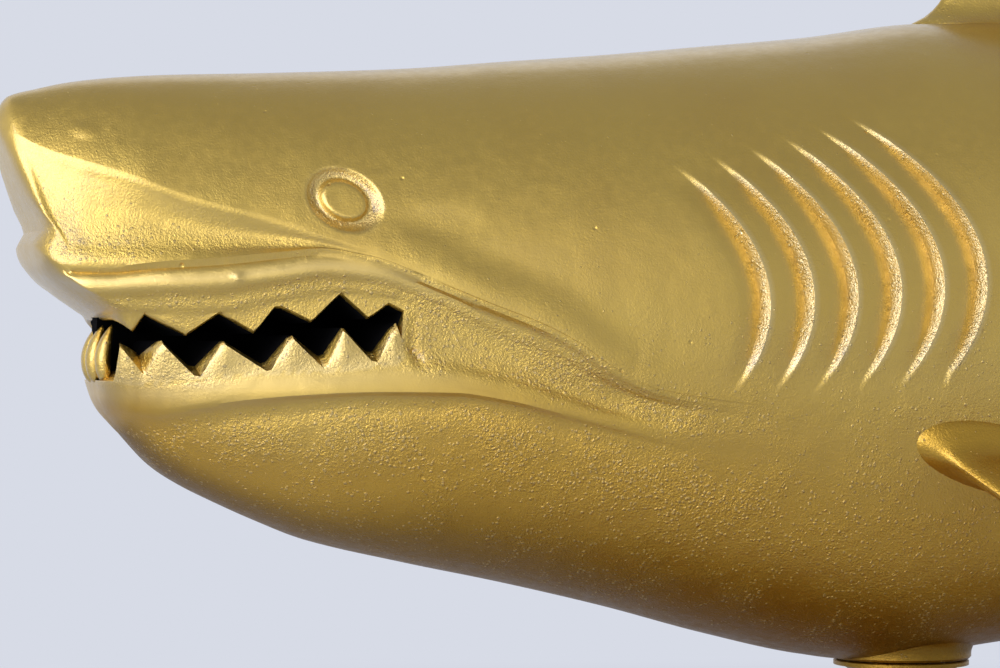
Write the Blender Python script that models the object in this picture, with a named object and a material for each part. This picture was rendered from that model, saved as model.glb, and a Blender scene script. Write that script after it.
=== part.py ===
"""A cast shark ornament, hollow, on a cast stand that a long screw holds from below.

The head points to -X, the tail to +X and up is +Z. The origin is the middle of the
stand's underside. The side drawing of the fish is in millimetres, with x from the tip
of the snout and z from the level of the mouth.
"""

import math

import bmesh
import bpy
import numpy as np
from mathutils import Matrix, Vector

mm = 0.001

# The fish, over all.
body_length = 700 * mm
body_height = 178 * mm
body_width = 130 * mm
wall = 5 * mm
head_web = 8 * mm

# Its fins, each from where it leaves the body to its tip.
dorsal_height = 76 * mm
rear_dorsal_height = 20 * mm
anal_height = 19 * mm
pectoral_span = 92 * mm
pelvic_span = 34 * mm
fin_thickness = 11 * mm

# Its features.
eye_diameter = 19 * mm
eye_groove = 4 * mm
eye_depth = 1.6 * mm
gill_count = 6
gill_pitch = 12 * mm
gill_depth = 2.4 * mm
lip_relief = 1.0

# The stand and the screw through it.
stand_height = 110 * mm
base_length = 230 * mm
base_width = 130 * mm
base_thickness = 12 * mm
base_corner = 18 * mm
base_edge = 3 * mm
stem_diameter = 24 * mm
boss_diameter = 39 * mm
boss_depth = 30 * mm
stem_from_middle = 19 * mm
screw_diameter = 8 * mm
screw_head_diameter = 13 * mm
screw_head_height = 8 * mm
screw_socket = 6 * mm
screw_reach = 22 * mm
screw_recess = 2 * mm
clearance = 0.3 * mm

# The sizes that the side drawing was made at.
drawn_length = 700 * mm
drawn_height = 178 * mm
drawn_width = 130 * mm
seam_level = -90.4
stem_place = 256
along = body_length / drawn_length
across = body_width / drawn_width
upright = body_height / drawn_height

# The side drawing: the two outlines, the front, and the lines of the head from top to bottom.
top_outline = [(0, 56), (4, 61.5), (11, 63.5), (20, 65.5), (32, 67), (46, 68), (71, 69), (110, 71),
               (138, 73.5), (167, 76), (196, 79), (225, 82), (262, 87), (300, 88), (350, 86),
               (400, 81), (450, 73), (500, 63), (550, 52), (600, 40), (625, 32.5), (642, 23)]
belly_outline = [(34, -28), (42, -35), (50, -40), (58, -44), (69, -49), (83, -54.5), (110, -61),
                 (138, -67), (167, -74), (196, -82), (225, -88.6), (240, -90.4), (258, -89.4),
                 (281, -86.8), (310, -83.4), (350, -77), (400, -66), (450, -53), (500, -39), (550, -25),
                 (600, -11.5), (625, -4.5), (642, 5)]
front_outline = [(-44, 58), (-40, 50), (-35, 42), (-28, 34), (-23, 29.5), (-19.6, 26.7), (-16, 25),
                 (-10, 23.8), (-3, 23.6), (1, 24), (6, 20.6), (10, 16), (16, 9.5), (20, 7), (23, 6.2),
                 (26.5, 8.2), (29.5, 7.2), (35, 4.6), (43.5, 2), (54, 0.3), (56, 0)]
crease_line = [(0, 53), (13, 46), (29, 40.7), (47, 33.5), (62, 29.5), (83, 23), (92, 20), (105, 14.5),
               (118, 9), (132, 3.5), (141, -1.5), (150, -8), (156, -11.8), (163, -14), (174, -15.5),
               (195, -18), (262, -22)]
lip_line = [(0, 23), (6, 22.6), (11, 17.5), (16, 16.2), (25, 16), (37, 17.2), (49, 18), (66, 19.6),
            (77, 20.6), (86, 19.2), (92, 17.8), (105, 12.3), (118, 6.8), (132, 1.3), (141, -3.4),
            (150, -9.6), (163, -15.6), (195, -20), (262, -24)]
gum_line = [(0, 6.1), (32, 5.8), (52, 5.8), (66, 8.6), (82, 10.7), (95, 9.4), (107, 5.4), (118, -0.6),
            (137, -10.6), (152, -16.5), (170, -20.5), (195, -23.5), (262, -29)]
jaw_line = [(0, -12), (36, -12.8), (49, -11.5), (62, -10.2), (77, -9.7), (90, -8.2), (102, -6.8),
            (120, -9.8), (137, -15), (152, -20), (170, -24), (195, -28), (262, -35)]
lower_lip_line = [(0, -15.9), (37, -16.4), (60, -13.8), (92, -12.5), (109, -13), (125, -15.6),
                  (137, -18.3), (152, -22.6), (170, -27), (195, -31), (262, -40)]
fold_line = [(0, -19.6), (25, -20.5), (38, -22.5), (49, -20.3), (73, -17.2), (92, -16.3), (110, -16.3),
             (124, -18.2), (138, -21.9), (152, -25.2), (170, -30), (195, -34), (262, -46)]
half_widths = [(0, 16), (20, 25), (50, 34.5), (100, 46.5), (150, 55.5), (200, 61.5), (265, 65),
               (330, 63), (400, 54), (480, 40), (560, 25), (600, 17), (625, 11), (642, 4)]
upper_teeth = [(24, 3.6), (31.3, 0.5), (34.2, 4.8), (44.5, -0.5), (52.3, 5.1), (61, 0), (66.3, 7.1),
               (75, 2.8), (82.1, 10), (89.1, 3.6), (93.8, 7.4), (96.5, 5.6)]
lower_teeth = [(95.3, 3.2), (88.8, -5.4), (82.2, 1.8), (76.7, -6.1), (69.4, 0), (62.7, -7.9),
               (52.7, -1.5), (45.6, -8.9), (37.8, -1.3), (33, -5.6), (28.5, -2.3), (25.6, -5.5)]

# The fins on the side drawing: where each root starts, its length and the length of the tip.
dorsal_drawing = (264, 82, 16)
rear_dorsal_drawing = (520, 30, 8)
anal_drawing = (532, 28, 8)
pectoral_root = [(238, -30), (304, -44)]
pectoral_tip = 14
pelvic_root = [(418, -46), (452, -42)]
pelvic_tip = 8
full_dorsal_chord = 80
full_pectoral_chord = 70

# The tail's sections from its lower tip up: level, leading edge, trailing edge and thickness.
tail_drawing = [(-71, 676, 679, 2.5), (-66, 671, 678, 3.5), (-56, 664, 675, 4.5), (-36, 651, 669, 6.5),
                (-14, 634, 660, 9), (2, 614, 652, 13), (14, 606, 648, 15), (26, 614, 651, 13),
                (44, 637, 660, 9), (72, 660, 675, 7), (100, 678, 690, 5), (118, 689, 697, 4),
                (128, 697, 700, 2.5)]

# How far each line of the head stands out of the plain flank, from the snout backwards.
crease_relief = [(0, 0.8), (40, 1), (90, 1.2), (115, 2.6), (150, 2.4), (175, 1), (210, 0)]
panel_relief = [(0, -0.8), (15, -2.2), (50, -2.2), (75, -1.2), (92, 1), (115, 2.4), (150, 2), (175, 0.8),
                (210, 0)]
ridge_relief = [(0, 1), (60, 0.8), (90, 1), (115, 1.9), (150, 1.6), (175, 0.6), (210, 0)]
groove_relief = [(0, -0.7), (60, -0.5), (85, 0.2), (115, -0.2), (150, -0.2), (175, 0)]
roll_relief = [(0, 1.3), (60, 0.9), (90, 0.3), (110, -1.2), (150, -1.2), (175, 0)]
under_roll_relief = [(0, -0.4), (60, -0.6), (90, -1), (110, -2), (150, -1.8), (175, 0)]
gum_relief = [(0, -1.4), (90, -1.8), (110, -2.8), (150, -2), (175, 0)]
teeth_relief = [(0, -1), (28, -2.2), (90, -2.4), (110, -3), (150, -1.8), (175, 0)]
jaw_relief = [(0, 0), (90, 0), (110, -2.2), (150, -1.4), (175, 0)]
lower_lip_relief = [(0, 1.6), (60, 2.2), (100, 1.2), (130, 0.4), (150, 0)]
fold_relief = [(0, -0.6), (60, -1), (100, -0.4), (150, -0.6), (175, 0)]

# Where the mesh of the skin has its rows and columns.
upper_rows = 11
lower_rows = 6
row_crowding = 1.35
front_columns = [0, 0.4, 1.3, 2.8, 5, 8, 12]
head_columns = 20
gill_zone = 168
tail_start = 262
tail_columns = 12
tail_end = 642
chin_level = -28
front_rounding = 9
snout_squareness = 5
jaw_squareness = 3
section_squareness = 2.2
lip_levels = (12, 26)

# The gill slits are arcs, and the columns of the mesh follow them.
first_gill = 190.8
gill_middle = 8
gill_middle_rise = 1.3
gill_top = 43.5
gill_top_rise = 3
gill_bottom = -15
gill_curve = 0.0165
gill_ramp = 8.5
gill_face = 1.4
eye_place = (83.5, 34.2)
core_start = 34
core_end = 585
web_end = 118


def smooth_curve(points):
    """A smooth line through the points that doesn't swing past any of them."""
    places, values = np.array(points, float).T
    steps = np.diff(places)
    slopes = np.diff(values) / steps
    tangents = np.zeros(len(places))
    for i in range(1, len(places) - 1):
        if slopes[i - 1] * slopes[i] > 0:
            tangents[i] = 2 * slopes[i - 1] * slopes[i] / (slopes[i - 1] + slopes[i])
    tangents[0] = slopes[0]
    tangents[-1] = slopes[-1]

    def value(x):
        x = np.clip(x, places[0], places[-1])
        i = min(max(int(np.searchsorted(places, x)) - 1, 0), len(steps) - 1)
        t = (x - places[i]) / steps[i]
        start = (1 + 2 * t) * (1 - t) ** 2 * values[i] + t * (1 - t) ** 2 * steps[i] * tangents[i]
        end = t * t * (3 - 2 * t) * values[i + 1] + t * t * (t - 1) * steps[i] * tangents[i + 1]
        return float(start + end)

    return value


def blend(value, start, end):
    """Goes smoothly from 0 at start to 1 at end."""
    t = min(max((value - start) / (end - start), 0), 1)
    return t * t * (3 - 2 * t)


top_at = smooth_curve(top_outline)
belly_at = smooth_curve(belly_outline)
front_at = smooth_curve(front_outline)
half_width_at = smooth_curve(half_widths)
crease_at = smooth_curve(crease_line)
lip_at = smooth_curve(lip_line)
gum_at = smooth_curve(gum_line)
jaw_at = smooth_curve(jaw_line)
lower_lip_at = smooth_curve(lower_lip_line)
fold_at = smooth_curve(fold_line)


def between(upper, lower, share):
    return lambda x: upper(x) + (lower(x) - upper(x)) * share


# The lines of the head from the crease down, each with how far it stands out.
head_lines = [
    (crease_at, crease_relief),
    (between(crease_at, lip_at, 0.5), panel_relief),
    (lip_at, ridge_relief),
    (between(lip_at, gum_at, 0.18), groove_relief),
    (between(lip_at, gum_at, 0.42), roll_relief),
    (between(lip_at, gum_at, 0.72), under_roll_relief),
    (gum_at, gum_relief),
    (between(gum_at, jaw_at, 0.35), teeth_relief),
    (between(gum_at, jaw_at, 0.7), teeth_relief),
    (jaw_at, jaw_relief),
    (lower_lip_at, lower_lip_relief),
    (fold_at, fold_relief),
]
row_count = upper_rows + len(head_lines) - 1 + lower_rows


def plain_half_width(x, z):
    """Half the fish's width at a point of the side drawing, without the features."""
    top, belly = top_at(x), belly_at(x)
    middle, half_height = (top + belly) / 2, (top - belly) / 2
    off_middle = min(abs(z - middle) / half_height, 1)
    section = math.sqrt(max(1 - off_middle ** section_squareness, 0))
    behind_front = min(max(x - front_at(z), 0) / front_rounding, 1)
    squareness = jaw_squareness + (snout_squareness - jaw_squareness) * blend(z, *lip_levels)
    rounding = (1 - (1 - behind_front) ** squareness) ** (1 / squareness)
    return half_width_at(x) * section * rounding


def row_height(row, x):
    """The level of one row of the skin's mesh at x."""
    top, belly = top_at(x), belly_at(x)
    first_lower = upper_rows + len(head_lines) - 1
    lines_x = min(x, tail_start)
    if row <= upper_rows:
        share = (row / upper_rows) ** row_crowding
        level = top_at(lines_x) + (crease_at(lines_x) - top_at(lines_x)) * share
    elif row <= first_lower:
        level = head_lines[row - upper_rows][0](lines_x)
    else:
        share = ((row_count - row) / lower_rows) ** row_crowding
        level = belly_at(lines_x) + (fold_at(lines_x) - belly_at(lines_x)) * share
    if x <= tail_start:
        return level
    head_share = (top_at(tail_start) - level) / (top_at(tail_start) - belly_at(tail_start))
    even_share = (1 - math.cos(math.pi * row / row_count)) / 2
    mixed = blend(x, tail_start, tail_start + 120)
    return top + (belly - top) * (head_share + (even_share - head_share) * mixed)


def row_start(row):
    """Where one row leaves the middle of the front: its x and level."""
    first_lower = upper_rows + len(head_lines) - 1
    if row <= upper_rows:
        snout, crease = top_at(0), crease_at(0)
        level = snout + (crease - snout) * row / upper_rows
    elif row <= first_lower:
        level = head_lines[row - upper_rows][0](0)
    else:
        level = chin_level + (fold_at(0) - chin_level) * (row_count - row) / lower_rows
    return front_at(level), level


def gill_bend(x, z):
    """How far a column leans to run along the gill slits."""
    middle = gill_middle + gill_middle_rise * (x - first_gill) / (gill_pitch / mm)
    reach = min(max(z - middle, -26), 46)
    strength = blend(x, 96, 186) * (1 - blend(x, tail_start, tail_start + 110))
    return -gill_curve * reach * reach * strength


def gill_relief(number, z):
    """How deep one slit is at a level, 0 past its two ends."""
    top = gill_top + gill_top_rise * number
    share = (z - gill_bottom) / (top - gill_bottom)
    if not 0 < share < 1:
        return 0
    return gill_depth / mm * (1 - abs(2 * share - 1) ** 3)


def column_places():
    """Each column's x along the flank, with the gill slit's foot or top that it lies on."""
    first = front_columns[-1]
    places = [(x, None, 0) for x in front_columns]
    step = (gill_zone - first) / head_columns
    places += [(first + step * (i + 1), None, 0) for i in range(head_columns)]
    for number in range(gill_count):
        slit = first_gill + number * gill_pitch / mm
        if slit + gill_face < tail_start:
            places.append((slit - gill_ramp, None, 0))
            places.append((slit - gill_face, number, -1))
            places.append((slit + gill_face, number, 0.15))
    last = places[-1][0]
    for i in range(tail_columns):
        share = (i + 1) / tail_columns
        places.append((last + (tail_end - last) * share, None, 0))
    return places


def on_drawing(x, y, z):
    """A point of the drawing, in the part's own frame."""
    lift = stand_height - seam_level * mm * upright
    middle = stem_place * mm * along + stem_from_middle
    return Vector((x * mm * along - middle, y * mm * across, z * mm * upright + lift))


def new_object(name, bm, material=None):
    """A mesh object from a bmesh, which is a cutter where it has no material."""
    bmesh.ops.recalc_face_normals(bm, faces=bm.faces)
    mesh = bpy.data.meshes.new(name)
    bm.to_mesh(mesh)
    bm.free()
    made = bpy.data.objects.new(name, mesh)
    bpy.context.scene.collection.objects.link(made)
    if material:
        mesh.materials.append(material)
        mesh.shade_smooth()
        mesh.set_sharp_from_angle(angle=math.radians(32))
    else:
        made.hide_render = True
        made.display_type = "WIRE"
    return made


def material_of(name, colour, roughness, metallic):
    made = bpy.data.materials.new(name)
    made.use_nodes = True
    shader = made.node_tree.nodes["Principled BSDF"]
    shader.inputs["Base Color"].default_value = (*colour, 1)
    shader.inputs["Roughness"].default_value = roughness
    shader.inputs["Metallic"].default_value = metallic
    return made


def boolean(target, other, operation):
    modifier = target.modifiers.new(f"{operation.lower()} {other.name}", "BOOLEAN")
    modifier.operation = operation
    modifier.object = other
    modifier.solver = "EXACT"


def skin_point(row, column):
    """A vertex of the left flank: a row's level at a column, pushed out to the skin."""
    place, number, sign = column
    start_x, start_level = row_start(row)
    x = start_x + (tail_end - start_x) * place / tail_end
    level = row_height(row, x)
    for _ in range(4):
        leaning = place + gill_bend(place, level)
        x = start_x + (tail_end - start_x) * leaning / tail_end
        level = row_height(row, x)
    offset = start_level - row_height(row, start_x)
    level += offset * (1 - blend(x - start_x, 0, front_rounding))
    if row in (0, row_count) or place == 0:
        return x, 0, level
    out = plain_half_width(x, level)
    line = row - upper_rows
    if 0 <= line < len(head_lines):
        out += smooth_curve(head_lines[line][1])(x) * lip_relief * blend(x - start_x, 0, 6)
    if number is not None:
        out += sign * gill_relief(number, level)
    return x, max(out, 0.2), level


def make_skin(material):
    """The fish without fins: a grid wrapped round the left flank, then mirrored to the right."""
    columns = column_places()
    bm = bmesh.new()
    bmesh.ops.create_grid(bm, x_segments=len(columns) - 1, y_segments=row_count, size=1)
    for vert in bm.verts:
        column = round((vert.co.x + 1) / 2 * (len(columns) - 1))
        row = round((1 - vert.co.y) / 2 * row_count)
        x, out, level = skin_point(row, columns[column])
        vert.co = on_drawing(x, -out, level)
    middle = [*bm.verts, *bm.edges, *bm.faces]
    bmesh.ops.mirror(bm, geom=middle, axis="Y", merge_dist=0.00001)
    bmesh.ops.remove_doubles(bm, verts=bm.verts, dist=0.00001)
    bmesh.ops.holes_fill(bm, edges=[edge for edge in bm.edges if edge.is_boundary])
    return new_object("shark", bm, material)


def tube(name, stations, sides, material=None):
    """A closed body through rings, each given as its centre and two half-axes."""
    bm = bmesh.new()
    rings = []
    for centre, first, second in stations:
        ring = bmesh.ops.create_circle(bm, segments=sides, radius=1)["verts"]
        for vert in ring:
            vert.co = centre + first * vert.co.x + second * vert.co.y
        rings.append(ring)
    bmesh.ops.bridge_loops(bm, edges=bm.edges[:])
    bmesh.ops.holes_fill(bm, edges=[edge for edge in bm.edges if edge.is_boundary])
    return new_object(name, bm, material)


def turned(name, profile, axis_x, sides=32, material=None):
    """A round piece on an upright axis, from its profile of radius and height."""
    bm = bmesh.new()
    verts = [bm.verts.new((axis_x + radius, 0, height)) for radius, height in profile]
    edges = [bm.edges.new(pair) for pair in zip(verts, verts[1:])]
    bmesh.ops.spin(bm, geom=verts + edges, cent=(axis_x, 0, 0), axis=(0, 0, 1),
                   angle=math.tau, steps=sides, use_merge=True)
    bmesh.ops.remove_doubles(bm, verts=bm.verts, dist=0.00001)
    return new_object(name, bm, material)


def box(name, low, high):
    bm = bmesh.new()
    bmesh.ops.create_cube(bm, size=1)
    for vert in bm.verts:
        vert.co = Vector(low[i] if vert.co[i] < 0 else high[i] for i in range(3))
    return new_object(name, bm)


def blade(name, leading, trailing, thicknesses, fat_way):
    """A fin: flat sections between its leading and its trailing edge, thickest near the front."""
    shape = [(0, 0), (0.05, 0.5), (0.18, 0.86), (0.38, 1), (0.7, 0.7), (0.94, 0.34), (1, 0.12)]
    outline = shape + [(along_chord, -fat) for along_chord, fat in reversed(shape[1:])]
    bm = bmesh.new()
    for front, back, thick in zip(leading, trailing, thicknesses):
        loop = []
        for along_chord, fat in outline:
            loop.append(bm.verts.new(front + (back - front) * along_chord + fat_way * fat * thick / 2))
        for pair in zip(loop, loop[1:] + loop[:1]):
            bm.edges.new(pair)
    bmesh.ops.bridge_loops(bm, edges=bm.edges[:])
    bmesh.ops.holes_fill(bm, edges=[edge for edge in bm.edges if edge.is_boundary])
    return new_object(name, bm)


def tip_rounding(share):
    """How much of its chord a fin keeps towards its tip."""
    past = min(max((share - 0.86) / 0.16, 0), 1)
    return math.sqrt(1 - past * past)


def upright_fin(name, drawing, height, lean, side=1):
    """A fin on the top or the belly line, with a hollow at its root."""
    root_x, root_chord, tip_chord = drawing
    line = top_at if side > 0 else belly_at
    leading, trailing, thicknesses = [], [], []
    shares = [-0.16, 0.0, 0.05, 0.14, 0.4, 0.7, 0.9, 0.97, 1.0]
    swell = [1.6, 1.3, 0.35, 0, 0, 0, 0, 0, 0]
    for share, swollen in zip(shares, swell):
        rise = height * share
        full = root_chord + (tip_chord - root_chord) * max(share, 0) ** 0.8
        chord = full * tip_rounding(share)
        front = root_x + lean * height / mm * max(share, -0.05) * (0.75 + 0.25 * abs(share))
        front += (full - chord) * 0.6
        fillet = fin_thickness / mm * 0.5 * swollen
        low_front = on_drawing(front - fillet, 0, line(front))
        low_back = on_drawing(front + chord + fillet * 0.5, 0, line(min(front + chord, tail_end)))
        level = Vector((0, 0, side * rise))
        flat = blend(share, 0, 0.5)
        low_back.z += (low_front.z - low_back.z) * flat
        leading.append(low_front + level)
        trailing.append(low_back + level)
        taper = 1 - 0.72 * max(share, 0)
        small = min(root_chord / full_dorsal_chord, 1) ** 0.5
        thicknesses.append(fin_thickness * small * (taper + swollen * 0.8))
    return blade(name, leading, trailing, thicknesses, Vector((0, 1, 0)))


def flank_fin(name, root, span, sweep, droop, tip_chord, side):
    """A fin that leaves the flank: side is -1 for the fish's left and 1 for its right."""
    root_front, root_back = root
    shares = [-0.12, 0.0, 0.04, 0.12, 0.35, 0.65, 0.88, 0.97, 1.0]
    swell = [1.5, 1.1, 0.35, 0, 0, 0, 0, 0, 0]
    outward = Vector((math.tan(sweep), side, -math.tan(droop)))
    leading, trailing, thicknesses = [], [], []
    front_y = plain_half_width(*root_front)
    back_y = plain_half_width(*root_back)
    root_lead = on_drawing(root_front[0], side * front_y, root_front[1])
    root_trail = on_drawing(root_back[0], side * back_y, root_back[1])
    root_chord = (root_trail - root_lead).length
    chord_way = (root_trail - root_lead).normalized()
    fat_way = outward.cross(chord_way).normalized()
    for share, swollen in zip(shares, swell):
        full = root_chord + (tip_chord * mm - root_chord) * max(share, 0) ** 0.85
        chord = full * tip_rounding(share)
        bow = 0.09 * span * math.sin(math.pi * max(share, 0)) * Vector((-1, 0, 0))
        front = root_lead + outward * span * share + bow + chord_way * (full - chord) * 0.6
        fillet = fin_thickness * 0.5 * swollen
        leading.append(front - chord_way * fillet)
        trailing.append(front + chord_way * (chord + fillet * 0.5) - bow * 0.6)
        taper = 1 - 0.72 * max(share, 0)
        small = min(root_chord / mm / full_pectoral_chord, 1) ** 0.5
        thicknesses.append(fin_thickness * small * (taper + swollen * 0.8))
    return blade(name, leading, trailing, thicknesses, fat_way)


def tail_fin():
    """The crescent tail: one blade from its lower tip to its upper tip."""
    leading = [on_drawing(front, 0, level) for level, front, back, thick in tail_drawing]
    trailing = [on_drawing(back, 0, level) for level, front, back, thick in tail_drawing]
    thicknesses = [thick * mm for level, front, back, thick in tail_drawing]
    return blade("tail_fin", leading, trailing, thicknesses, Vector((0, 1, 0)))


def add_fins(shark):
    fins = [
        upright_fin("dorsal_fin", dorsal_drawing, dorsal_height, 0.82),
        upright_fin("rear_dorsal_fin", rear_dorsal_drawing, rear_dorsal_height, 0.9),
        upright_fin("anal_fin", anal_drawing, anal_height, 0.9, side=-1),
        tail_fin(),
    ]
    for side, word in ((-1, "left"), (1, "right")):
        fins.append(flank_fin(f"pectoral_fin_{word}", pectoral_root, pectoral_span,
                              math.radians(38), math.radians(32), pectoral_tip, side))
        fins.append(flank_fin(f"pelvic_fin_{word}", pelvic_root, pelvic_span,
                              math.radians(40), math.radians(40), pelvic_tip, side))
    for fin in fins:
        boolean(shark, fin, "UNION")


def stem_x():
    return -stem_from_middle


def add_boss(shark):
    """The boss under the belly that stands on the stem, with a hollow round its root."""
    radius = boss_diameter / 2
    seam = stand_height
    lip = 2.5 * mm
    profile = [(0, seam), (radius, seam), (radius, seam + lip * 0.6), (radius * 1.04, seam + 1.6 * lip),
               (radius * 1.2, seam + 3 * lip), (radius * 1.5, seam + 5 * lip), (0, seam + 5 * lip)]
    boolean(shark, turned("boss", profile, stem_x()), "UNION")


def hollow_stations():
    """The rings of the core: the fish's own section, a wall smaller all round."""
    inset_x, inset_y, inset_z = wall / mm / along, wall / mm / across, wall / mm / upright
    front = core_start + inset_x
    back = core_end - inset_x
    stations = []
    count = 22
    rounded_end = 0.1
    for i in range(count):
        share = i / (count - 1)
        x = front + (back - front) * share
        past = max(1 - min(share, 1 - share) / rounded_end, 0)
        taper = math.sqrt(max(1 - past ** 2, 0.12))
        top, belly = top_at(x) - inset_z * 1.1, belly_at(x) + inset_z * 1.1
        half_height = (top - belly) / 2
        half_width = max(half_width_at(x) * 0.985 - inset_y * 1.25, 2)
        centre = on_drawing(x, 0, (top + belly) / 2)
        first = Vector((0, half_width * mm * across * taper, 0))
        second = Vector((0, 0, half_height * mm * upright * taper))
        stations.append((centre, first, second))
    return stations


def add_hollow(shark):
    """The core of the casting, which leaves a web behind the snout and a boss for the screw."""
    core = tube("core", hollow_stations(), 20)
    low = on_drawing(0, 0, belly_at(web_end) - front_rounding)
    high = on_drawing(web_end, 0, top_at(web_end) + front_rounding)
    web = box("web", (low.x, -head_web / 2, low.z), (high.x, head_web / 2, high.z))
    boolean(core, web, "DIFFERENCE")
    profile = [(0, stand_height - wall), (boss_diameter * 0.4, stand_height - wall),
               (boss_diameter * 0.4, stand_height + boss_depth), (0, stand_height + boss_depth)]
    boolean(core, turned("screw_boss", profile, stem_x(), 24), "DIFFERENCE")
    boolean(shark, core, "DIFFERENCE")


def add_mouth(shark):
    """The gap between the teeth, cut through the wall on each side into the hollow."""
    for side, word in ((-1, "left"), (1, "right")):
        inner = side * (head_web / 2 + 2 * mm)
        outer = side * body_width
        bm = bmesh.new()
        verts = []
        for x, z in upper_teeth + lower_teeth:
            place = on_drawing(x, 0, z)
            verts.append(bm.verts.new((place.x, inner, place.z)))
        face = bm.faces.new(verts)
        moved = bmesh.ops.extrude_face_region(bm, geom=[face])["geom"]
        reach = Vector((0, outer - inner, 0))
        moved_verts = [part for part in moved if isinstance(part, bmesh.types.BMVert)]
        bmesh.ops.translate(bm, verts=moved_verts, vec=reach)
        boolean(shark, new_object(f"mouth_gap_{word}", bm), "DIFFERENCE")


def flank_frame(x, z, side):
    """A point of the flank and the way that the skin faces there."""
    step = 2
    here = on_drawing(x, side * plain_half_width(x, z), z)
    behind = on_drawing(x + step, side * plain_half_width(x + step, z), z)
    above = on_drawing(x, side * plain_half_width(x, z + step), z + step)
    way = (behind - here).cross(above - here).normalized()
    return here, way if way.y * side > 0 else -way


def add_eyes(shark):
    """Each eye is a ring groove round a low disc."""
    outer = eye_diameter / 2
    inner = outer - eye_groove
    height = 8 * mm
    for side, word in ((-1, "left"), (1, "right")):
        profile = [(inner, -eye_depth), (outer, -eye_depth), (outer + 0.8 * mm, height), (inner, height)]
        ring = turned(f"eye_groove_{word}", profile + profile[:1], 0, 26)
        here, way = flank_frame(*eye_place, side)
        turn = way.to_track_quat("Z", "X").to_matrix().to_4x4()
        ring.matrix_world = Matrix.Translation(here) @ turn
        boolean(shark, ring, "DIFFERENCE")


def make_shark(material):
    shark = make_skin(material)
    add_fins(shark)
    add_boss(shark)
    add_hollow(shark)
    add_mouth(shark)
    add_eyes(shark)
    bore = screw_diameter / 2 + clearance
    deep = stand_height + screw_reach + 2 * mm
    profile = [(0, stand_height - wall), (bore, stand_height - wall), (bore, deep), (0, deep + bore * 0.6)]
    boolean(shark, turned("screw_hole", profile, stem_x(), 20), "DIFFERENCE")
    return shark


def make_stand(material):
    """The base plate and the stem, one casting, flared where they meet and under the boss."""
    bm = bmesh.new()
    bmesh.ops.create_cube(bm, size=1)
    for vert in bm.verts:
        rise = (vert.co.z + 0.5) * base_thickness
        vert.co = Vector((vert.co.x * base_length, vert.co.y * base_width, rise))
    corners = [e for e in bm.edges if abs(e.verts[0].co.z - e.verts[1].co.z) > base_thickness / 2]
    bmesh.ops.bevel(bm, geom=corners, offset=base_corner, segments=8, profile=0.5,
                    affect="EDGES", material=-1)
    rim = [e for e in bm.edges if min(v.co.z for v in e.verts) > base_thickness / 2]
    bmesh.ops.bevel(bm, geom=rim, offset=base_edge, segments=3, profile=0.5,
                    affect="EDGES", material=-1)
    stand = new_object("stand", bm, material)
    top = stand_height - clearance
    radius, flare = stem_diameter / 2, boss_diameter / 2 - 0.6 * mm
    foot = radius * 1.9
    sink = base_thickness / 2
    profile = [(0, sink), (foot, sink), (foot, base_thickness)]
    rise = foot - radius
    for i in range(1, 6):
        turn = math.pi / 2 * i / 5
        profile.append((foot - rise * math.sin(turn), base_thickness + rise * (1 - math.cos(turn))))
    neck = top - 1.5 * mm
    drop = flare - radius
    for i in range(6):
        turn = math.pi / 2 * i / 5
        profile.append((radius + drop * (1 - math.cos(turn)), neck - drop + drop * math.sin(turn)))
    profile += [(flare, top), (0, top)]
    boolean(stand, turned("stem", profile, stem_x()), "UNION")
    bore = screw_diameter / 2 + clearance
    pocket = screw_head_diameter / 2 + clearance
    seat = screw_recess + screw_head_height + clearance
    profile = [(0, -wall), (pocket, -wall), (pocket, seat), (bore, seat), (bore, top + wall),
               (0, top + wall)]
    boolean(stand, turned("screw_way", profile, stem_x(), 24), "DIFFERENCE")
    return stand


def make_screw(material):
    """A socket screw from under the base, up the stem and into the boss."""
    head, shank = screw_head_diameter / 2, screw_diameter / 2
    seat = screw_recess + screw_head_height
    tip = stand_height + screw_reach
    socket = screw_socket / 2
    chamfer = 0.8 * mm
    profile = [(0, screw_recess + socket), (socket, screw_recess + socket), (socket, screw_recess),
               (head - chamfer, screw_recess), (head, screw_recess + chamfer), (head, seat),
               (shank, seat), (shank, tip - chamfer), (shank - chamfer, tip), (0, tip)]
    return turned("stem_screw", profile, stem_x(), 24, material)


def main():
    for old in list(bpy.data.objects):
        bpy.data.objects.remove(old)
    gold = material_of("satin gold on cast aluminium", (0.52, 0.35, 0.1), 0.34, 1)
    steel = material_of("plated steel", (0.6, 0.6, 0.58), 0.35, 1)
    make_shark(gold)
    make_stand(gold)
    make_screw(steel)


main()
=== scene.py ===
import math
from functools import partial

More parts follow.
